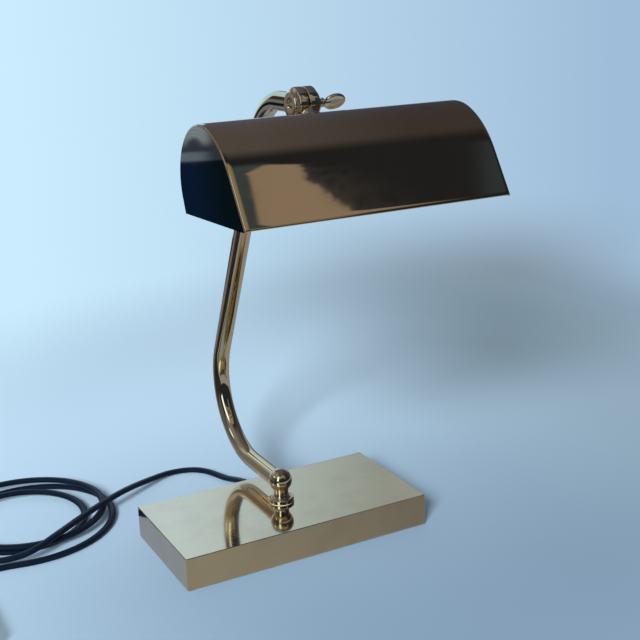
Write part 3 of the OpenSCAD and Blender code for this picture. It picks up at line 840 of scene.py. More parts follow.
class Room:
    """Painted surroundings of the stage, by the direction of a ray."""

    def __init__(self, graph: Graph) -> None:
        """Takes a ray's direction apart.

        Args:
            graph: Graph of the world.
        """
        self.graph = graph
        self.heading = graph.node("TexCoord", out="Generated")
        self.x = graph.node("SeparateXYZ", inputs={"Vector": self.heading})
        self.y, self.z = self.x.out("Y"), self.x.out("Z")

    def towards(self, direction: Triple) -> Socket:
        """Returns the share of the heading along a direction."""
        return self.graph.measure(Measure.ALONG, self.heading, tuple(Vector(direction).normalized()))

    def paint(self, under: Term, *zones: Zone) -> Term:
        """Lays tones over each other.

        Args:
            under: Tone below them all.
            zones: Mask and tone of each zone, lowest first.

        Returns:
            The painted tone.
        """
        for mask, tone in zones:
            under = self.graph.mix(mask, under, tone)
        return under

    def backdrop(self) -> Term:
        """Paints the pale paper that the camera sees behind the lamp, darker to the right and with a painted shadow of
        the shade.

        Returns:
            The painted tone.
        """
        across = self.towards((0.888, -0.46, 0.0))
        # painted shadow of the shade on the paper, below the horizon and to the right
        far = self.z.ramp(-0.17, -0.25) * across.ramp(-0.13, 0.16) * across.ramp(0.31, 0.16)
        return self.paint(
            (0.60, 0.84, 1.0), (across.ramp(-0.25, 0.25, even=True), (0.35, 0.51, 0.69)), (far, (0.23, 0.30, 0.365))
        )

    def end_wall(self) -> Term:
        """Paints what the left end plate mirrors.

        Returns:
            The painted tone.
        """
        x, z = self.x, self.z
        blur = self.graph.noise(self.heading, 260.0, 3.0)
        ring = self.graph.measure(Measure.FROM, self.heading, (-0.3628, 0.9233, -0.1267))
        waves = self.graph.node("Math", {"operation": "SINE"}, {0: ring * 2100.0 + blur * 5.0})
        folds = ring.ramp(0.0045, 0.008) * z.ramp(-0.13, -0.122) * x.ramp(-0.381, -0.37) * (waves * 0.28 + 0.72)
        shelf = z.ramp(-0.132, -0.1332) * x.ramp(-0.379, -0.364) * (blur * 0.8 + 0.5)
        navy = self.graph.mix(x.ramp(-0.384, -0.356), (0.0022, 0.009, 0.02), (0.0035, 0.0145, 0.06))
        return self.paint(
            (0.03, 0.05, 0.1),
            (folds, (0.27, 0.44, 0.66)),
            (z.ramp(-0.108, -0.1), (0.17, 0.18, 0.18)),
            (shelf, (0.13, 0.215, 0.37)),
            (z.ramp(-0.1395, -0.141), navy),
            (z.ramp(0.3, 0.5), (0.38, 0.45, 0.57)),
        )

    def behind(self) -> list[Zone]:
        """Draws the dark and the bright band that edge the crook of the tube.

        Returns:
            Mask and tone of each band.
        """
        skew = self.x - self.z * 0.37
        back = self.y.ramp(0.84, 0.88) * self.x.ramp(0.37, 0.34)
        dark = back * self.z.ramp(0.1, 0.18) * skew.ramp(-0.345, -0.36) * skew.ramp(-0.5, -0.46)
        bright = back * self.z.ramp(-0.07, -0.04) * skew.ramp(-0.365, -0.345)
        return [(dark, (0.03, 0.034, 0.042)), (bright, (0.46, 0.72, 1.02))]

    def in_front(self) -> list[Zone]:
        """Draws the zones over the camera, which the shade's front and the tube mirror.

        Returns:
            Mask and tone of each zone.
        """
        x, y, z = self.x, self.y, self.z
        high = y.ramp(-0.32, -0.42) * z.ramp(0.56, 0.62)
        left = x.ramp(-0.8, -0.65)
        low = y.ramp(-0.42, -0.5) * z.ramp(0.3, 0.36) * z.ramp(0.61, 0.585) * x.ramp(0.25, 0.35) * x.ramp(0.5, 0.46)
        # painted reflection: a faint haze in the room beside the bright patch, which the shade's front mirrors
        reflected_haze = (x + z * 0.92).ramp(1.14, 1.1) * (x + z * 0.09).ramp(0.455, 0.475)
        reflected_haze = reflected_haze * self.graph.noise(self.heading, 110.0, 4.0).ramp(0.3, 0.6)
        ragged = x + (self.graph.noise(self.heading, 200.0, 4.0) - 0.5) * 0.011
        sheen = ((ragged + z * 0.06).ramp(0.4915, 0.4885) + (ragged + z * 0.92).ramp(1.104, 1.0995)).ramp(0.0, 1.0)
        sheen = sheen * (x + z * 0.09).ramp(0.4680, 0.4715) * (x - z * 0.25).ramp(0.2090, 0.2125)
        sheen = sheen * (z + x * 1.67).ramp(1.528, 1.508)
        return [
            (high * x.ramp(0.425, 0.41), (0.048, 0.092, 0.155)),
            (high * x.ramp(0.565, 0.59), (0.034, 0.06, 0.105)),
            (high * x.ramp(0.38, 0.368) * left, (0.19, 0.21, 0.22)),
            (high * x.ramp(0.3, 0.2) * left, (0.27, 0.29, 0.29)),
            (low, (0.19, 0.205, 0.21)),
            (high * reflected_haze, (0.04, 0.052, 0.08)),
            (high * sheen, (0.285, 0.29, 0.33)),
        ]

    def windows(self) -> list[Zone]:
        """Draws the tall window beside the lamp and the round one over it.

        Returns:
            Mask and tone of each window.
        """
        beside = self.towards((-0.66, 0.75, 0.0))
        tall = beside.ramp(-0.15, -0.11) * beside.ramp(0.2, 0.13) * self.towards((-0.75, -0.66, 0.0)).ramp(0.3, 0.4)
        tall = tall * self.z.ramp(0.08, 0.14) * self.z.ramp(0.8, 0.72)
        inner, outer = (math.cos(math.radians(a)) for a in (5.0, 9.0))
        small = self.towards((-0.82, 0.22, 0.53)).ramp(outer, inner)
        return [(tall, (1.15, 1.65, 2.1)), (small, (0.9, 1.15, 1.4))]

    def mirrored(self) -> Term:
        """Paints the room that polished metal mirrors.

        Returns:
            The painted tone.
        """
        x, y, z = self.x, self.y, self.z
        ceiling = self.graph.mix(x.ramp(0.41, 0.53, even=True), (0.092, 0.106, 0.152), (0.054, 0.057, 0.084))
        return self.paint(
            (0.017, 0.024, 0.042),
            (y.ramp(-0.28, -0.02), ceiling),
            (x.ramp(-0.15, -0.35) * z.ramp(0.4, 0.55), (0.2, 0.225, 0.26)),
            (x.ramp(-0.18, -0.3) * y.ramp(0.5, 0.7), self.end_wall()),
            *self.behind(),
            *self.in_front(),
            *self.windows(),
        )

    def build(self, soft: Colour) -> None:
        """Shows each kind of ray its surroundings.

        Args:
            soft: Tone of the even light that matt surfaces get.
        """
        ray = self.graph.node("LightPath", out="Is Camera Ray")
        straight = (ray + ray.out("Is Transmission Ray")).ramp(0.0, 1.0)
        seen = self.paint(soft, (ray.out("Is Glossy Ray"), self.mirrored()), (straight, self.backdrop()))
        sky = self.graph.node("Background", inputs={"Color": seen, "Strength": 1.0})
        self.graph.node("OutputWorld", inputs={"Surface": sky})


@dataclass
class Studio:
    """Paper floor, mirrored cards, light and room round the lamp."""

    floor_rings: Triple = (0.3, 0.9, 1.4)
    floor_drop: float = 0.05 * MM
    light_from: Triple = (-0.62, -0.65, 0.46)
    light_aim: Triple = (0.0, -0.05, 0.2)
    light_reach: float = 4.0
    light_power: float = 238.0
    light_size: float = 1.05
    light_tint: Colour = (0.95, 0.98, 1.0)
    soft: Colour = (0.3, 0.305, 0.3)

    def build(self) -> None:
        """Lays the floor and the cards, hangs the light and paints the room."""
        rings = [[Vector((x, y, -self.floor_drop)) for x, y in circle(r, 96)] for r in self.floor_rings]
        floor = Workpiece(1.0).loft(rings, (True, False)).make("paper_floor")
        floor.data.materials.append(FLOOR_PAPER.material())
        self._card(BACK_CARD, ((-0.15, 0.6, 0.16), (1.0, 0.6, 0.16), (1.0, 0.6, 0.46), (-0.15, 0.6, 0.46)))
        self._lay(FLOOR_CARD, 0.05 * MM, ((-0.4, -0.5), (0.7, -0.5), (0.7, 0.9), (-0.4, 0.9)))
        self._lay(FRONT_CARD, 0.1 * MM, ((-0.2, -0.13), (0.3, -0.13), (0.3, -0.058), (-0.2, -0.058)))
        self._lay(LEFT_CARD, 0.15 * MM, ((-0.9, -0.37), (-0.315, -0.37), (0.035, 0.9), (-0.9, 0.9)))
        self._light()
        world = bpy.data.worlds.new("studio")
        bpy.context.scene.world = world
        world.use_nodes = True
        Room(Graph(world.node_tree)).build(self.soft)
        log.info("studio is lit")

    def _card(self, finish: Finish, corners: Sequence[Triple]) -> None:
        """Sets up a card that only polished metal mirrors.

        Args:
            finish: Tone of the card, which also names it.
            corners: Its corners.
        """
        card = Workpiece(1.0).loft([[Vector(c) for c in corners]], (False, True)).make(finish.name)
        card.data.materials.append(finish.material())
        card.visible_camera = card.visible_diffuse = card.visible_shadow = False
        card.visible_transmission = card.visible_volume_scatter = False

    def _lay(self, finish: Finish, height: float, corners: Sequence[Pair]) -> None:
        """Lays such a card flat at a height over the table."""
        self._card(finish, [(x, y, height) for x, y in corners])

    def _light(self) -> None:
        """Hangs the soft window light, which metal doesn't mirror."""
        data = bpy.data.lights.new("window_light", "AREA")
        data.energy, data.size, data.color = self.light_power, self.light_size, self.light_tint
        light = bpy.data.objects.new("window_light", data)
        away = Vector(self.light_from).normalized()
        light.location = Vector(self.light_aim) + away * self.light_reach
        light.rotation_mode = "QUATERNION"
        light.rotation_quaternion = away.to_track_quat("Z", "Y")
        light.visible_glossy = light.visible_camera = False
        bpy.context.collection.objects.link(light)


@dataclass
class Flex(Assembly):
    """Flat twin cord from the base, through its coil, to the switch and the plug."""

    width: float = 6.6 * MM
    height: float = 5 * MM
    waist: float = 0.1
    waist_share: float = 0.17
    coil_middle: Pair = (-0.190, 0.136)
    coil_radius: float = 0.086
    coil_pitch: float = 0.025
    coil_start: float = 220.0
    turns_in: float = 1.25
    turns_back: float = 0.5
    turns_out: float = 1.15
    lie: float = 0.0026
    layer: float = 0.0058

    LEAD = (
        (0.006, 0.078, 0.0095), (0.006, 0.0846, 0.0095), (0.0057, 0.092, 0.00892), (0.0048, 0.0994, 0.0077),
        (0.0032, 0.107, 0.00608), (0.0012, 0.1147, 0.00451), (-0.001, 0.1225, 0.0033), (-0.0035, 0.1315, 0.00272),
        (-0.0066, 0.1408, 0.0026), (-0.0107, 0.1494, 0.0026), (-0.017, 0.1565, 0.0026), (-0.0253, 0.1612, 0.0026),
        (-0.0347, 0.163, 0.00277), (-0.0442, 0.1617, 0.00359), (-0.0527, 0.1576, 0.00498), (-0.0616, 0.1515, 0.00678),
        (-0.072, 0.1442, 0.00898), (-0.0857, 0.1345, 0.01159), (-0.1002, 0.1244, 0.01362), (-0.112, 0.1168, 0.0142),
        (-0.124, 0.1092, 0.0142), (-0.1385, 0.0994, 0.0142), (-0.1535, 0.0884, 0.0142), (-0.1686, 0.0766, 0.0142),
        (-0.1828, 0.0658, 0.0142), (-0.1954, 0.0584, 0.01292), (-0.209, 0.0546, 0.01118), (-0.2232, 0.0556, 0.00991),
        (-0.2364, 0.0612, 0.00898),
    )
    TAIL = (
        (-0.2305, 0.0582, 0.0026), (-0.2378, 0.0575, 0.0026), (-0.2449, 0.0553, 0.0026), (-0.2513, 0.0519, 0.0026),
        (-0.257, 0.0472, 0.0026), (-0.2617, 0.0415, 0.00277), (-0.2651, 0.035, 0.00341), (-0.2673, 0.028, 0.00428),
        (-0.268, 0.0207, 0.00533), (-0.268, 0.0136, 0.00631), (-0.268, 0.0066, 0.007), (-0.268, 0.0, 0.007),
    )
    END = (
        (-0.268, -0.062, 0.007), (-0.268, -0.0686, 0.007), (-0.268, -0.078, 0.00602), (-0.268, -0.087, 0.00562),
        (-0.268, -0.096, 0.00602), (-0.268, -0.1054, 0.007), (-0.268, -0.112, 0.007),
    )

    def _loop_point(self, n: float) -> Vector:
        """Follows the coil's centre line.

        Args:
            n: Turns from its start.

        Returns:
            The point after so many turns.
        """
        inner = self.coil_radius - self.coil_pitch * self.turns_in
        m = n - self.turns_in
        if m < 0.0:
            radius = self.coil_radius - self.coil_pitch * n
        elif m < self.turns_back:
            radius = inner - self.coil_pitch * m + self.coil_pitch * m * m / self.turns_back
        else:
            radius = inner + self.coil_pitch * (m - self.turns_back)
        share = min(max(m / self.turns_back, 0.0), 1.0)
        angle = math.radians(self.coil_start - 360.0 * n)
        height = self.lie + self.layer * (1.0 + math.cos(math.pi * share)) / 2.0
        x, y = self.coil_middle
        return Vector((x + radius * math.cos(angle), y + radius * math.sin(angle), height))

    def main_route(self) -> list[Vector]:
        """Joins the lead, the coil and the tail.

        Returns:
            The points from the base to the switch.
        """
        turns = self.turns_in + self.turns_back + self.turns_out

        def heading(n: float) -> Vector:
            """Returns the coil's direction after n turns."""
            step = 0.002
            return (self._loop_point(n + step) - self._loop_point(n - step)).normalized()

        enter = self._loop_point(0.0) - self.width * heading(0.0)
        leave = self._loop_point(turns) + self.width * heading(turns)
        count = math.ceil(48 * turns)
        coil = [self._loop_point(turns * i / count) for i in range(count + 1)]
        lead = [Vector(p) for p in self.LEAD] + [enter - self.width * heading(0.0), enter]
        tail = [leave, leave + self.width * heading(turns)] + [Vector(p) for p in self.TAIL]
        return through(lead, 6) + through(coil, 2) + through(tail, 6)

    def section(self) -> list[Pair]:
        """Draws the cord's oval section with its waist between the two cores.

        Returns:
            Points across and up.
        """
        oval = circle(self.width / 2.0, 20, self.height / self.width)
        groove = self.waist_share * self.width
        return [(u, v * (1.0 - self.waist * math.exp(-((u / groove) ** 2)))) for u, v in oval]

    def _lay(
        self,
        name: str,
        start: Triple,
        route: Sequence[Vector],
        far_end: FarEnd,
        lay: Lay,
        fittings: Sequence[bpy.types.Object],
        *nodes: str,
    ) -> None:
        """Args:
            name: Name of the piece.
            start: Where the stretch comes out; not used.
            route: Its centre line.
            far_end: What it ends in; not used.
            lay: How it lies; not used.
            fittings: Pieces on it; not used.
            nodes: Solids that it stands for.
        """
        cord = Workpiece(1.0).sweep(route, self.section()).make(name)
        self.place(cord, Body.BASE, FLEX, Slot.CORD, *nodes)
        length = sum((b - a).length for a, b in zip(route, route[1:]))
        log.info("%s is %.3f m long", name, length)

    def build(self, switch_pieces: Sequence[bpy.types.Object], plug_pieces: Sequence[bpy.types.Object]) -> None:
        """Lays both stretches of the cord.

        Args:
            switch_pieces: Pieces of the switch in the cord.
            plug_pieces: Pieces of the plug at its end.
        """
        self._lay(
            "cord_main", self.LEAD[0], self.main_route(), FarEnd.FITTING, Lay.COILED, switch_pieces,
            "cord_lead", "cord_coil", "cord_tail",
        )
        short = through([Vector(p) for p in self.END], 6)
        self._lay("cord_short", self.END[0], short, FarEnd.PLUG, Lay.LOOSE, plug_pieces, "cord_end")


@dataclass
class CordSwitch(Assembly):
    """In-line rocker switch of the cord."""

    middle: Triple = (-268.0, -31.0, 0.0)
    width: float = 24.0
    length: float = 62.0
    corner: float = 7.0
    split: float = 7.0
    height: float = 12.0
    bezel: float = 2.0
    window: Pair = (12.6, 20.6)
    rocker_width: float = 12.0
    rocker_half: float = 9.5
    tip: float = 8.0
    pivot: float = 10.5

    def build(self) -> list[bpy.types.Object]:
        """Makes the two shells and the rocker.

        Returns:
            The pieces, for the cord.
        """
        at = shift(*self.middle)
        size = (self.width, self.length, self.corner)
        low = eased(
            [(6.0, 0.0, 0.0), (0.0, 0.0, 1.6), (0.0, self.split - 0.25, 0.25),
             (0.5, self.split - 0.05, 0.0)]
        )
        lower = Workpiece().slab(size, low, at).make("switch_shell_low")
        self.place(lower, Body.BASE, PLASTIC, Slot.BLACK_PLASTIC, "switch_lower")
        top = self.height
        high = eased(
            [(0.5, self.split + 0.05, 0.0), (0.0, self.split + 0.25, 0.25),
             (0.0, top - 0.6, 1.8), (2.4, top, 1.2), (3.6, top, 0.0)]
        )
        upper = Workpiece().slab(size, high, at, caps=(True, False))
        self._bezel(upper, at, top)
        shell = upper.make("switch_shell_high")
        self.place(shell, Body.BASE, PLASTIC, Slot.BLACK_PLASTIC, "switch_upper")
        rocker = self._rocker(at)
        self.place(rocker, Body.ROCKER, RELIEF, Slot.BLACK_PLASTIC, "switch_rocker")
        self.dress(ZINC_STEEL, "switch_screws")
        return [lower, shell, rocker, self.frame["nodes"]["switch_screws"]]

    def _bezel(self, upper: Workpiece, at: Matrix, top: float) -> None:
        """Adds the deck, the raised frame and the well that the rocker sits in.

        Args:
            upper: Upper shell.
            at: Place of the switch.
            top: Height of the deck.
        """
        wide, tall = self.window
        edge = self.bezel
        rows = (
            (4.6, 2.2, 0.0), (4.0, 2.0, 0.35), (4.0, 2.0, edge - 0.5), (3.6, 1.8, edge - 0.12), (2.8, 1.5, edge),
            (0.7, 0.5, edge), (0.0, 0.2, edge - 0.35), (0.0, 0.2, self.split + 0.4 - top),
        )
        outlines = [(self.width - 7.2, self.length - 7.2, self.corner - 3.6, top)]
        outlines += [(wide + more, tall + more, corner, top + z) for more, corner, z in rows]
        upper.stack(outlines, at, caps=(False, True))

    def _rocker(self, at: Matrix) -> bpy.types.Object:
        """Makes the tipped rocker with its thumb hollow.

        Args:
            at: Place of the switch.

        Returns:
            The rocker.
        """
        half = self.rocker_half
        place = at @ shift(z=self.pivot) @ turn("X", self.tip)
        outline = eased(
            [(0.0, -3.0, 0.0), (half - 1.5, -3.0, 0.4), (half, 3.2, 0.5),
             (half / 2.0, 2.2, 4.0), (0.0, 1.9, 6.0), (-half / 2.0, 2.2, 4.0),
             (-half, 3.2, 0.5), (-half + 1.5, -3.0, 0.4), (-0.01, -3.0, 0.0)]
        )
        ends = ((1.0, 0.955), (0.985, 0.985), (0.955, 1.0))
        rings = [
            [place @ Vector((x * self.rocker_width / 2.0, y * shrink, z * shrink)) for y, z in outline]
            for x, shrink in [(-x, shrink) for x, shrink in ends] + list(reversed(ends))
        ]
        return Workpiece().loft(rings).make("switch_rocker_key")


@dataclass
class MainsPlug(Assembly):
    """Two-pin plug at the end of the cord."""

    place_at: Triple = (-268.0, -112.0, 7.0)
    width: float = 35.0
    body: float = 33.0
    thick: float = 13.6
    sleeve: float = 20.0
    cord: float = 6.6
    ribs: int = 5
    rib_start: float = 1.6
    rib_step: float = 3.1

    def build(self) -> list[bpy.types.Object]:
        """Makes the moulded body and dresses its pins.

        Returns:
            The pieces, for the cord.
        """
        at = shift(*self.place_at) @ turn("X", 90.0)
        made = Workpiece()
        tip, root = (self.cord + 1.8) / 2.0, (self.thick - 2.6) / 2.0
        profile: list[Pair] = [(self.cord * 0.3, 0.0), (tip - 0.3, 0.0), (tip, 0.3)]
        for i in range(self.ribs):
            for share, dip in ((0.0, 0.0), (0.08, 0.5), (0.42, 0.5), (0.5, 0.0)):
                z = self.rib_start + (i + share) * self.rib_step
                profile.append((tip + (root - tip) * z / self.sleeve - dip, z))
        profile += [(root, self.sleeve), (root, self.sleeve + 4.0)]
        made.lathe(profile, at, 48)
        face = self.sleeve + self.body
        shoulder = self.sleeve + 0.35 * self.body
        outlines = [
            (2 * root, 2 * root, root, self.sleeve - 0.6),
            (2 * root + 2.0, self.thick - 1.2, root, self.sleeve),
            (2 * root + 6.0, self.thick - 0.2, 5.2, self.sleeve + 2.2),
            (self.width - 3.0, self.thick, 4.4, shoulder - 2.6),
            (self.width - 0.7, self.thick, 4.0, shoulder),
            (self.width, self.thick, 4.0, shoulder + 3.0),
        ]
        rows = (
            (0.0, 4.0, 9.2), (0.9, 3.6, 8.8), (0.9, 3.6, 8.0), (0.0, 4.0, 7.6), (0.0, 4.0, 0.9), (0.5, 3.8, 0.25),
            (1.8, 3.2, 0.0),
        )
        outlines += [(self.width - less, self.thick - less, corner, face - z) for less, corner, z in rows]
        body = made.stack(outlines, at, 8).make("plug_moulding")
        self.place(body, Body.BASE, PLASTIC, Slot.BLACK_PLASTIC, "plug_body")
        self.dress(NICKEL, "plug_pins")
        return [body, self.frame["nodes"]["plug_pins"]]


@dataclass
class Base(Assembly):
    """Weighted brass base with its felt, hardware and strain relief."""

    length: float = 220.0
    width: float = 112.0
    height: float = 28.0
    sheet: float = 1.2
    felt: float = 1.5
    felt_in: float = 1.6
    felt_gap: float = 0.02
    felt_edge: float = 0.35
    skirt: float = 0.5
    edge: float = 0.7
    screw_at: Pair = (85.0, 31.0)
    screw_room: float = 4.0
    gland_at: Triple = (6.0, 56.0, 9.5)
    relief: float = 22.0
    ribs: int = 5
    rib_start: float = 3.4

    def build(self) -> None:
        """Makes the box, the felt and the strain relief and dresses the hardware."""
        profile = eased(
            [(self.sheet, self.skirt + 5.0, 0.0), (self.sheet, self.skirt, 0.2), (0.0, self.skirt, 0.3),
             (0.0, self.height, self.edge), (12.0, self.height, 0.0)],
            6,
        )
        box = Workpiece().slab((self.length, self.width, self.edge), profile, Matrix(), caps=(False, True))
        self.place(box.make("base_box", crease=5.0), Body.BASE, BASE_BRASS, Slot.BRASS, "base_shell")
        self._felt()
        self._gland()
        self.dress(IRON, "base_weight")
        self.dress(ZINC_STEEL, "base_cover", "cover_screws", "stop_peg")
        self.dress(NYLON, "swivel_washer")

    def _felt(self) -> None:
        """Lays the felt sheet with its four screw openings."""
        work = bmesh.new()
        screws = [(sx * self.screw_at[0], sy * self.screw_at[1]) for sx in (-1, 1) for sy in (-1, 1)]
        outer = rounded_rectangle(self.length - 2.0 * self.felt_in, self.width - 2.0 * self.felt_in, 1.2)
        openings = [[(u + x, v + y) for x, y in circle(self.screw_room, 32)] for u, v in screws]
        edges = []
        for outline in [outer] + openings:
            points = [work.verts.new((x * MM, y * MM, 0.0)) for x, y in outline]
            edges += [work.edges.new((a, b)) for a, b in zip(points, points[1:] + points[:1])]
        bmesh.ops.triangle_fill(work, use_beauty=True, edges=edges)
        raised = bmesh.ops.extrude_face_region(work, geom=list(work.faces))
        for item in raised["geom"]:
            if isinstance(item, bmesh.types.BMVert):
                item.co.z = (self.felt - self.felt_gap) * MM
        bmesh.ops.recalc_face_normals(work, faces=work.faces)
        mesh = bpy.data.meshes.new("base_felt_sheet")
        work.to_mesh(mesh)
        work.free()
        felt = bpy.data.objects.new("base_felt_sheet", mesh)
        bpy.context.collection.objects.link(felt)
        soft = felt.modifiers.new("soft_edge", "BEVEL")
        soft.width, soft.segments, soft.limit_method = self.felt_edge * MM, 2, "ANGLE"
        self.place(felt, Body.BASE, GREEN_FELT, Slot.FELT, "base_felt")

    def _gland(self) -> None:
        """Turns the ribbed strain relief behind the base."""
        profile: list[Pair] = eased(
            [(2.6, -3.0, 0.0), (5.0, -3.0, 0.0), (5.0, 0.0, 0.0), (6.3, 0.0, 0.2),
             (6.3, 1.5, 0.6), (5.1, 1.5, 0.5), (5.0, 3.2, 0.0)],
            4,
        )
        step = (self.relief - self.rib_start - 1.5) / self.ribs
        for i in range(self.ribs):
            for share, dip in ((0.0, 0.0), (0.06, 0.2), (0.12, 0.62), (0.46, 0.62), (0.52, 0.2), (0.58, 0.0)):
                z = self.rib_start + (i + share) * step
                profile.append((5.1 - 1.1 * z / self.relief - dip, z))
        profile += [(4.05, self.relief - 0.5), (3.7, self.relief), (2.6, self.relief)]
        gland = Workpiece().lathe(profile, shift(*self.gland_at) @ turn("X", -90.0), 48)
        self.place(gland.make("cord_relief", 30.0), Body.BASE, RELIEF, Slot.BLACK_PLASTIC, "cord_gland")


@dataclass
class SwivelPost(Assembly):
    """Turned ball, neck and flange that carry the arm."""

    flange_r: float = 11.0
    flange_z: float = 28.5
    flange_t: float = 3.5
    neck_r: float = 6.25
    ball_r: float = 10.0
    ball_z: float = 47.5

    def build(self) -> None:
        """Turns the post and dresses what holds it."""
        top = self.flange_z + self.flange_t
        line = eased(
            [(5.0, self.flange_z, 0.0), (self.flange_r, self.flange_z, 0.3),
             (self.flange_r, top - 0.4, 1.2), (self.flange_r - 1.6, top, 0.5),
             (8.3, top, 0.3), (8.1, top + 0.9, 0.6), (7.1, top + 1.2, 0.3),
             (self.neck_r, top + 3.2, 4.0), (self.neck_r + 0.1, top + 5.4, 6.0)],
            6,
        )
        start = -math.acos(min(1.0, (self.neck_r + 0.45) / self.ball_r))
        steps = 40
        for i in range(steps + 1):
            angle = start + (math.pi / 2.0 - start) * i / steps
            line.append((max(self.ball_r * math.cos(angle), 0.0), self.ball_z + self.ball_r * math.sin(angle)))
        post = Workpiece().lathe(line, Matrix(), 96).make("post_turning", 34.0)
        self.place(post, Body.ARM, ARM_BRASS, Slot.BRASS, "post_knob")
        self.dress(BARE_BRASS, "swivel_nipple", "lock_nut")
        self.dress(ZINC_STEEL, "stop_washer", "spring_washer")


@dataclass
class BentArm(Assembly):
    """Bent tube from the post to the head joint."""

    radius: float = 7.5
    seat: float = 3.0
    low_z: float = 45.5
    low_run: float = 56.0
    bend_r: float = 62.0
    lean: float = 27.0
    crook_r: float = 45.0
    top_z: float = 369.0
    top_run: float = 19.0

    def line(self) -> list[Vector]:
        """Draws the tube's centre line.

        Returns:
            Points in the plane of Y and Z.
        """
        lean = math.radians(self.lean)
        out = Vector((0.0, math.cos(lean), math.sin(lean)))
        bend = Vector((0.0, self.low_run, self.low_z + self.bend_r))
        rise = bend + self.bend_r * out
        crook_z = self.top_z - self.crook_r
        height = (crook_z + self.crook_r * math.sin(lean) - rise.z) / math.cos(lean)
        top = rise + height * Vector((0.0, -math.sin(lean), math.cos(lean)))
        crook = top - self.crook_r * out

        def arc(centre: Vector, radius: float, start: float, end: float, steps: int) -> list[Vector]:
            """Returns points on an arc between two angles in degrees."""
            angles = (math.radians(start + (end - start) * i / steps) for i in range(steps + 1))
            return [centre + radius * Vector((0.0, math.cos(a), math.sin(a))) for a in angles]

        line = [Vector((0.0, self.seat + (self.low_run - self.seat) * i / 8.0, self.low_z)) for i in range(8)]
        line += arc(bend, self.bend_r, -90.0, self.lean, 48)
        line += [rise + (top - rise) * i / 24.0 for i in range(1, 24)]
        line += arc(crook, self.crook_r, self.lean, 90.0, 32)
        line += [Vector((0.0, crook.y - self.top_run * i / 4.0, self.top_z)) for i in range(1, 5)]
        return line

    def build(self) -> None:
        """Sweeps the tube."""
        side = Vector((1.0, 0.0, 0.0))
        tube = Workpiece().sweep(self.line(), circle(self.radius, 56), side, (False, False))
        self.place(tube.make("arm_sweep"), Body.ARM, ARM_BRASS, Slot.BRASS, "arm_tube")


@dataclass
class HeadPart(Assembly):
    """A group of pieces that is set out from the head joint."""

    axis: Triple = (0.0, -70.233, 369.0)
    lift: float = 2.4
    slope: float = 43.0
    reach: float = 24.0

    def head(self) -> Matrix:
        """Returns the place of the joint's axis, turned as the head is at rest."""
        return shift(*self.axis) @ turn("X", -self.lift)


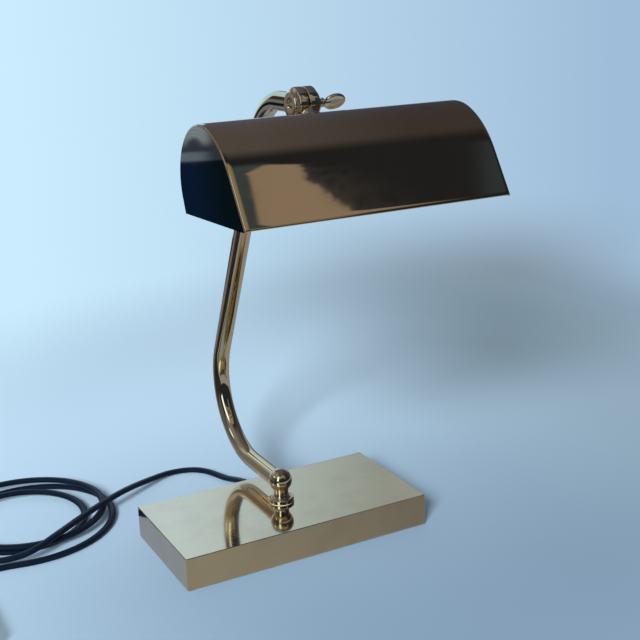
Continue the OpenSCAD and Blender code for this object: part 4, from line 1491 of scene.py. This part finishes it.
@dataclass
class HeadJoint(HeadPart):
    """Two discs and the thumb screw that clamps them."""

    disc_r: float = 12.75
    disc_t: float = 10.0
    seam: float = 0.6
    slip: float = 0.03
    rim: float = 3.0
    tube_r: float = 7.5
    neck: float = 16.0
    collar: Pair = (4.0, 7.0)
    paddle: Triple = (18.0, 14.5, 2.6)
    paddle_turn: float = 39.0

    def build(self) -> None:
        """Makes both halves and the thumb screw."""
        at = shift(*self.axis)
        far = self.seam / 2.0 + self.disc_t
        arm = Workpiece()
        arm.lathe(self._face(far, True), at @ turn("Y", -90.0), 80)
        arm.lathe(self._neck(self.neck), at @ turn("X", -90.0), 56)
        self.place(arm.make("joint_arm_half", 34.0), Body.ARM, JOINT_BRASS, Slot.BRASS, "knuckle_arm")
        shade = Workpiece()
        head = self.head()
        shade.lathe(self._face(far, False), head @ turn("Y", 90.0), 80)
        shade.lathe(self._neck(self.reach), head @ turn("X", 90.0 + self.slope), 56)
        self.place(shade.make("joint_shade_half", 34.0), Body.HEAD, JOINT_BRASS, Slot.BRASS, "knuckle_shade")
        self.place(self._screw(at, far), Body.THUMB, THUMB_BRASS, Slot.BRASS, "thumb_screw")
        self.dress(FIBRE, "knuckle_washer")

    def _face(self, far: float, dimple: bool) -> list[Pair]:
        """Returns a disc's half section, from the seam to its outer face.

        Args:
            far: Height of the outer face.
            dimple: Whether the screw's end shows in a hollow.

        Returns:
            Radius and height of each point.
        """
        r, rim = self.disc_r, self.rim
        near = self.seam / 2.0 + self.slip
        line = [
            (3.1, near, 0.0), (r - 0.5, near, 0.3),
            (r, near + 0.5, 0.3), (r, far - rim, 0.9),
            (r - 0.72 * rim, far - 0.62 * rim, 0.5), (r - 1.05 * rim, far - 0.5 * rim, 0.2),
            (r - 1.12 * rim, far - 0.12 * rim, 0.15), (r - 1.2 * rim, far, 0.15),
        ]
        hollow = [(3.9, far, 0.3), (3.3, far - 1.1, 0.2), (3.05, far - 2.2, 0.0)]
        return eased(line + (hollow if dimple else [(3.1, far, 0.0)]), 6)

    def _neck(self, length: float) -> list[Pair]:
        """Returns a neck's half section, from the joint's axis to its end."""
        return [(self.tube_r, 4.0), (self.tube_r, length - 0.5), (self.tube_r - 0.35, length)]

    def _screw(self, at: Matrix, far: float) -> bpy.types.Object:
        """Makes the thumb screw with its dished paddle.

        Args:
            at: Place of the joint's axis.
            far: Distance of a disc's outer face from the seam.

        Returns:
            The thumb screw.
        """
        made = Workpiece()
        along = at @ turn("X", self.paddle_turn) @ turn("Y", 90.0)
        collar_r, collar_l = self.collar
        length, width, thick = self.paddle
        end = 1.0 - far
        top = far + collar_l
        made.lathe(
            eased(
                [(0.0, end, 0.0), (2.4, end, 0.2), (2.95, end + 0.6, 0.2),
                 (2.95, far, 0.0), (collar_r, far, 0.3), (collar_r, far + 1.7, 0.6),
                 (2.9, far + 2.4, 0.6), (2.7, top - 2.4, 0.8),
                 (3.5, top - 1.9, 0.5), (3.5, top - 0.5, 0.5),
                 (2.6, top, 0.6), (1.9, top + 1.8, 2.0), (1.2, top + length / 3.0, 0.0)],
                5,
            ),
            along,
            48,
        )
        middle = along @ shift(z=top + length / 2.0) @ turn("X", 90.0)
        half = thick / 2.0
        face = [(0.02, 0.5), (0.25, 0.5), (0.45, 0.54), (0.62, 0.66), (0.76, 0.86), (0.84, 0.97), (0.9, 1.0)]
        edge = [(0.9 + 0.1 * math.sin(a), math.cos(a)) for a in (math.pi * i / 10.0 for i in range(1, 10))]
        levels = [(s, half * h) for s, h in face] + [(s, half * h) for s, h in edge]
        levels += [(s, -half * h) for s, h in reversed(face)]
        rings = [
            [middle @ Vector((width / length * x * s, y * s, z)) for x, y in circle(length / 2.0, 64)]
            for s, z in levels
        ]
        return made.loft(rings).make("thumb_screw_turning", 40.0)


@dataclass
class Shade(HeadPart):
    """Trough shade of folded brass with its two end plates."""

    length: float = 202.0
    wall: float = 1.0
    crown_r: float = 41.0
    front_r: float = 66.5
    back_slope: float = 17.0
    crown_end: float = 117.0
    front_slope: float = 29.0
    skirt: float = 22.0
    border: float = 3.2
    curl: float = 0.5
    low_curl: float = 0.2
    rim: float = 0.6
    plate: float = 1.2

    def frame_at_crown(self) -> Matrix:
        """Finds the crown's centre with the head at rest.

        Returns:
            Its place.
        """
        slope = math.radians(self.slope)
        away = self.reach + self.crown_r
        return self.head() @ shift(y=-away * math.cos(slope), z=-away * math.sin(slope))

    def section(self) -> list[tuple[Vector, Vector, float]]:
        """Draws the outside of the section, from the back edge to the front edge.

        Returns:
            Point, outward normal and distance to the nearer edge of each place.
        """
        back, front = math.radians(self.back_slope), math.pi - math.radians(self.front_slope)
        end = math.radians(self.crown_end)
        centre = -(self.front_r - self.crown_r) * Vector((math.cos(end), math.sin(end)))
        points: list[Place] = []
        for middle, radius, start, stop, first, steps in (
            (Vector((0.0, 0.0)), self.crown_r, -back, end, 0, 60),
            (centre, self.front_r, end, front, 1, 20),
        ):
            for i in range(first, steps + 1):
                angle = start + (stop - start) * i / steps
                normal = Vector((math.cos(angle), math.sin(angle)))
                points.append((middle + radius * normal, normal))
        low = self._run(points[0], Vector((-math.sin(back), -math.cos(back))))
        high = self._run(points[-1], Vector((-math.sin(front), math.cos(front))))
        line = list(reversed(low)) + points + high
        total = [0.0]
        for (a, _), (b, _) in zip(line, line[1:]):
            total.append(total[-1] + (b - a).length)
        return [(p, n, min(s, total[-1] - s)) for (p, n), s in zip(line, total)]

    def _run(self, start: Place, way: Vector) -> list[Place]:
        """Returns a straight wall from the end of an arc to the opening.

        Args:
            start: Point and normal at the end of the arc.
            way: Direction of the wall.

        Returns:
            Point and normal of each place, denser near the edge.
        """
        point, normal = start
        span = (-self.skirt - point.y) / way.y
        marks = [0.0, 0.2, 0.5, 0.9, 1.4, 2.0, 2.6, 3.2, 3.8, 4.4, 5.0, 5.6, 6.5, 8.0, 12.0, 18.0, 25.0]
        places = [span - m for m in marks if span - m > 0.8]
        return [(point + way * s, normal) for s in sorted(places)]

    def inset(self, edge: float, end: float) -> float:
        """Returns how far the curled border has gone in.

        Args:
            edge: Distance to the opening's edge.
            end: Distance to the end of the shell.

        Returns:
            The depth under the plain section.
        """
        depth = self.low_curl * max(0.0, 1.0 - edge / self.border) ** 2
        depth += self.curl * max(0.0, 1.0 - end / self.border) ** 2
        near = min(edge, end)
        if near < self.rim:
            depth += self.rim - math.sqrt(max(0.0, self.rim**2 - (self.rim - near) ** 2))
        return depth

    def build(self) -> None:
        """Makes the shell and the end plates."""
        at = self.frame_at_crown()
        line = self.section()
        half = self.length / 2.0 - 0.25
        marks = [0.0, 0.08, 0.2, 0.4, 0.6, 0.9, 1.4, 2.0, 2.6, 3.2, 3.8, 4.4, 5.0, 5.6, 7.0, 12.0, 30.0, 60.0]
        stations = [-half + m for m in marks] + [half - m for m in reversed(marks)]
        rings = []
        for x in stations:
            end = half - abs(x)
            outer, inner = [], []
            for point, normal, edge in line:
                p = point - self.inset(edge, end) * normal
                q = point - (self.inset(self.border, end) + self.wall) * normal
                outer.append(at @ Vector((x, p.x, p.y)))
                inner.append(at @ Vector((x, q.x, q.y)))
            rings.append(outer + inner[::-1])
        shell = Workpiece().loft(rings).make("shade_trough", 50.0)
        self.place(shell, Body.HEAD, SHADE_BRASS, Slot.SHADE_BRASS, "shade_shell")
        for name, side in (("left", -1.0), ("right", 1.0)):
            plate = self._plate("shade_plate_" + name, side, at, line)
            self.place(plate, Body.HEAD, SHADE_BRASS, Slot.SHADE_BRASS, "shade_end_" + name)

    def _plate(
        self, name: str, side: float, at: Matrix, line: Sequence[tuple[Vector, Vector, float]]
    ) -> bpy.types.Object:
        """Makes an end plate that sits in the shell's curled end.

        Args:
            name: Name of the piece.
            side: Minus one for the left end, one for the right.
            at: Place of the crown's centre.
            line: Section of the shell.

        Returns:
            The end plate.
        """
        outer = self.length / 2.0
        rings = []
        for depth, x in (
            (self.curl + 0.62, outer - self.plate), (self.curl + 0.62, outer - 0.3),
            (self.curl + 0.7, outer - 0.1), (self.curl + 0.95, outer), (self.curl + 2.0, outer),
        ):
            ring = [point - depth * normal for point, normal, _ in line]
            rings.append([at @ Vector((side * x, p.x, p.y)) for p in ring])
        return Workpiece().loft(rings).make(name, 12.0)


@dataclass
class BulbHolder(HeadPart):
    """Lampholder, bulb and the strap that carries them under the shade."""

    drop: float = 52.9
    leg: float = 84.0
    holder_r: float = 14.0
    holder_l: float = 46.0
    rings: int = 5
    ring_start: float = 24.0
    ring_step: float = 3.4
    cap_r: float = 7.0
    cap_z: float = 13.0
    cap_l: float = 24.0
    bulb_r: float = 13.0
    bulb_l: float = 96.0

    def build(self) -> None:
        """Makes the holder, cap and bulb and dresses the hardware."""
        at = self.head() @ turn("X", 90.0 + self.slope) @ shift(x=-self.leg, z=self.drop) @ turn("Y", 90.0)
        r, end = self.holder_r, self.holder_l
        line = [
            (5.1, 0.0, 0.0), (r - 2.2, 0.0, 1.2), (r, 3.0, 1.4), (r, 14.0, 0.2),
            (r - 0.6, 14.3, 0.1), (r - 0.6, 15.2, 0.1), (r, 15.5, 0.2),
        ]
        for i in range(self.rings):
            z = self.ring_start + i * self.ring_step
            line += [(r, z, 0.2), (r - 0.5, z + 0.4, 0.3), (r - 0.5, z + 1.2, 0.3), (r, z + 1.6, 0.2)]
        line += [(r, end, 0.5), (r - 1.6, end, 0.4), (r - 1.6, 4.0, 0.0)]
        holder = Workpiece().lathe(eased(line, 4), at, 72).make("holder_turning", 34.0)
        self.place(holder, Body.HEAD, PLASTIC, Slot.BLACK_PLASTIC, "lamp_holder")
        self.place(self._cap(at), Body.HEAD, NICKEL, Slot.PLATED, "bulb_cap")
        self.place(self._bulb(at), Body.HEAD, OPAL, Slot.OPAL_GLASS, "bulb_glass")
        self.dress(CERAMIC, "holder_core")
        self.dress(BARE_BRASS, "holder_contact", "holder_nipple", "holder_nut")
        self.dress(BARE_BRASS, "shade_nipple", "shade_washer", "shade_nut")
        self.dress(ZINC_STEEL, "holder_bracket")

    def _cap(self, at: Matrix) -> bpy.types.Object:
        """Turns the bulb's cap with its rolled thread.

        Args:
            at: Place of the holder's foot.

        Returns:
            The cap.
        """
        r, low, high = self.cap_r, self.cap_z, self.cap_z + self.cap_l
        line: list[Pair] = [(0.0, low), (2.4, low + 0.05), (r - 1.0, low + 2.0)]
        turns, steps = 5, 8
        for i in range(turns * steps + 1):
            z = low + 2.4 + (self.cap_l - 8.4) * i / (turns * steps)
            line.append((r - (0.35 + 0.33 * math.cos(2.0 * math.pi * i / steps)), z))
        line += [(r - 0.1, high - 5.0), (r - 0.1, high)]
        return Workpiece().lathe(line, at, 56).make("bulb_cap_thread")

    def _bulb(self, at: Matrix) -> bpy.types.Object:
        """Turns the tubular bulb with its drawn-in neck.

        Args:
            at: Place of the holder's foot.

        Returns:
            The bulb.
        """
        start = self.cap_z + self.cap_l
        r = self.bulb_r
        line = eased(
            [(5.0, start, 0.0), (6.5, start, 0.2), (6.9, start + 3.0, 4.0),
             (r - 0.6, start + 10.5, 6.0), (r, start + 16.0, 6.0),
             (r, start + self.bulb_l - r, 0.0)],
            8,
        )
        for i in range(1, 21):
            angle = math.pi / 2.0 * i / 20.0
            line.append((max(0.0, r * math.cos(angle)), start + self.bulb_l - r + r * math.sin(angle)))
        return Workpiece().lathe(line, at, 64).make("bulb_opal_tube")


def main() -> None:
    """Builds the lamp's pieces and its stage in order."""
    logging.basicConfig(level=logging.INFO, format="%(message)s", stream=sys.stdout)
    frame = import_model()
    Shot().build()
    switch = CordSwitch(frame).build()
    plug = MainsPlug(frame).build()
    Flex(frame).build(switch, plug)
    Base(frame).build()
    SwivelPost(frame).build()
    BentArm(frame).build()
    HeadJoint(frame).build()
    Shade(frame).build()
    BulbHolder(frame).build()
    Studio().build()


if __name__ == "__main__":
    main()
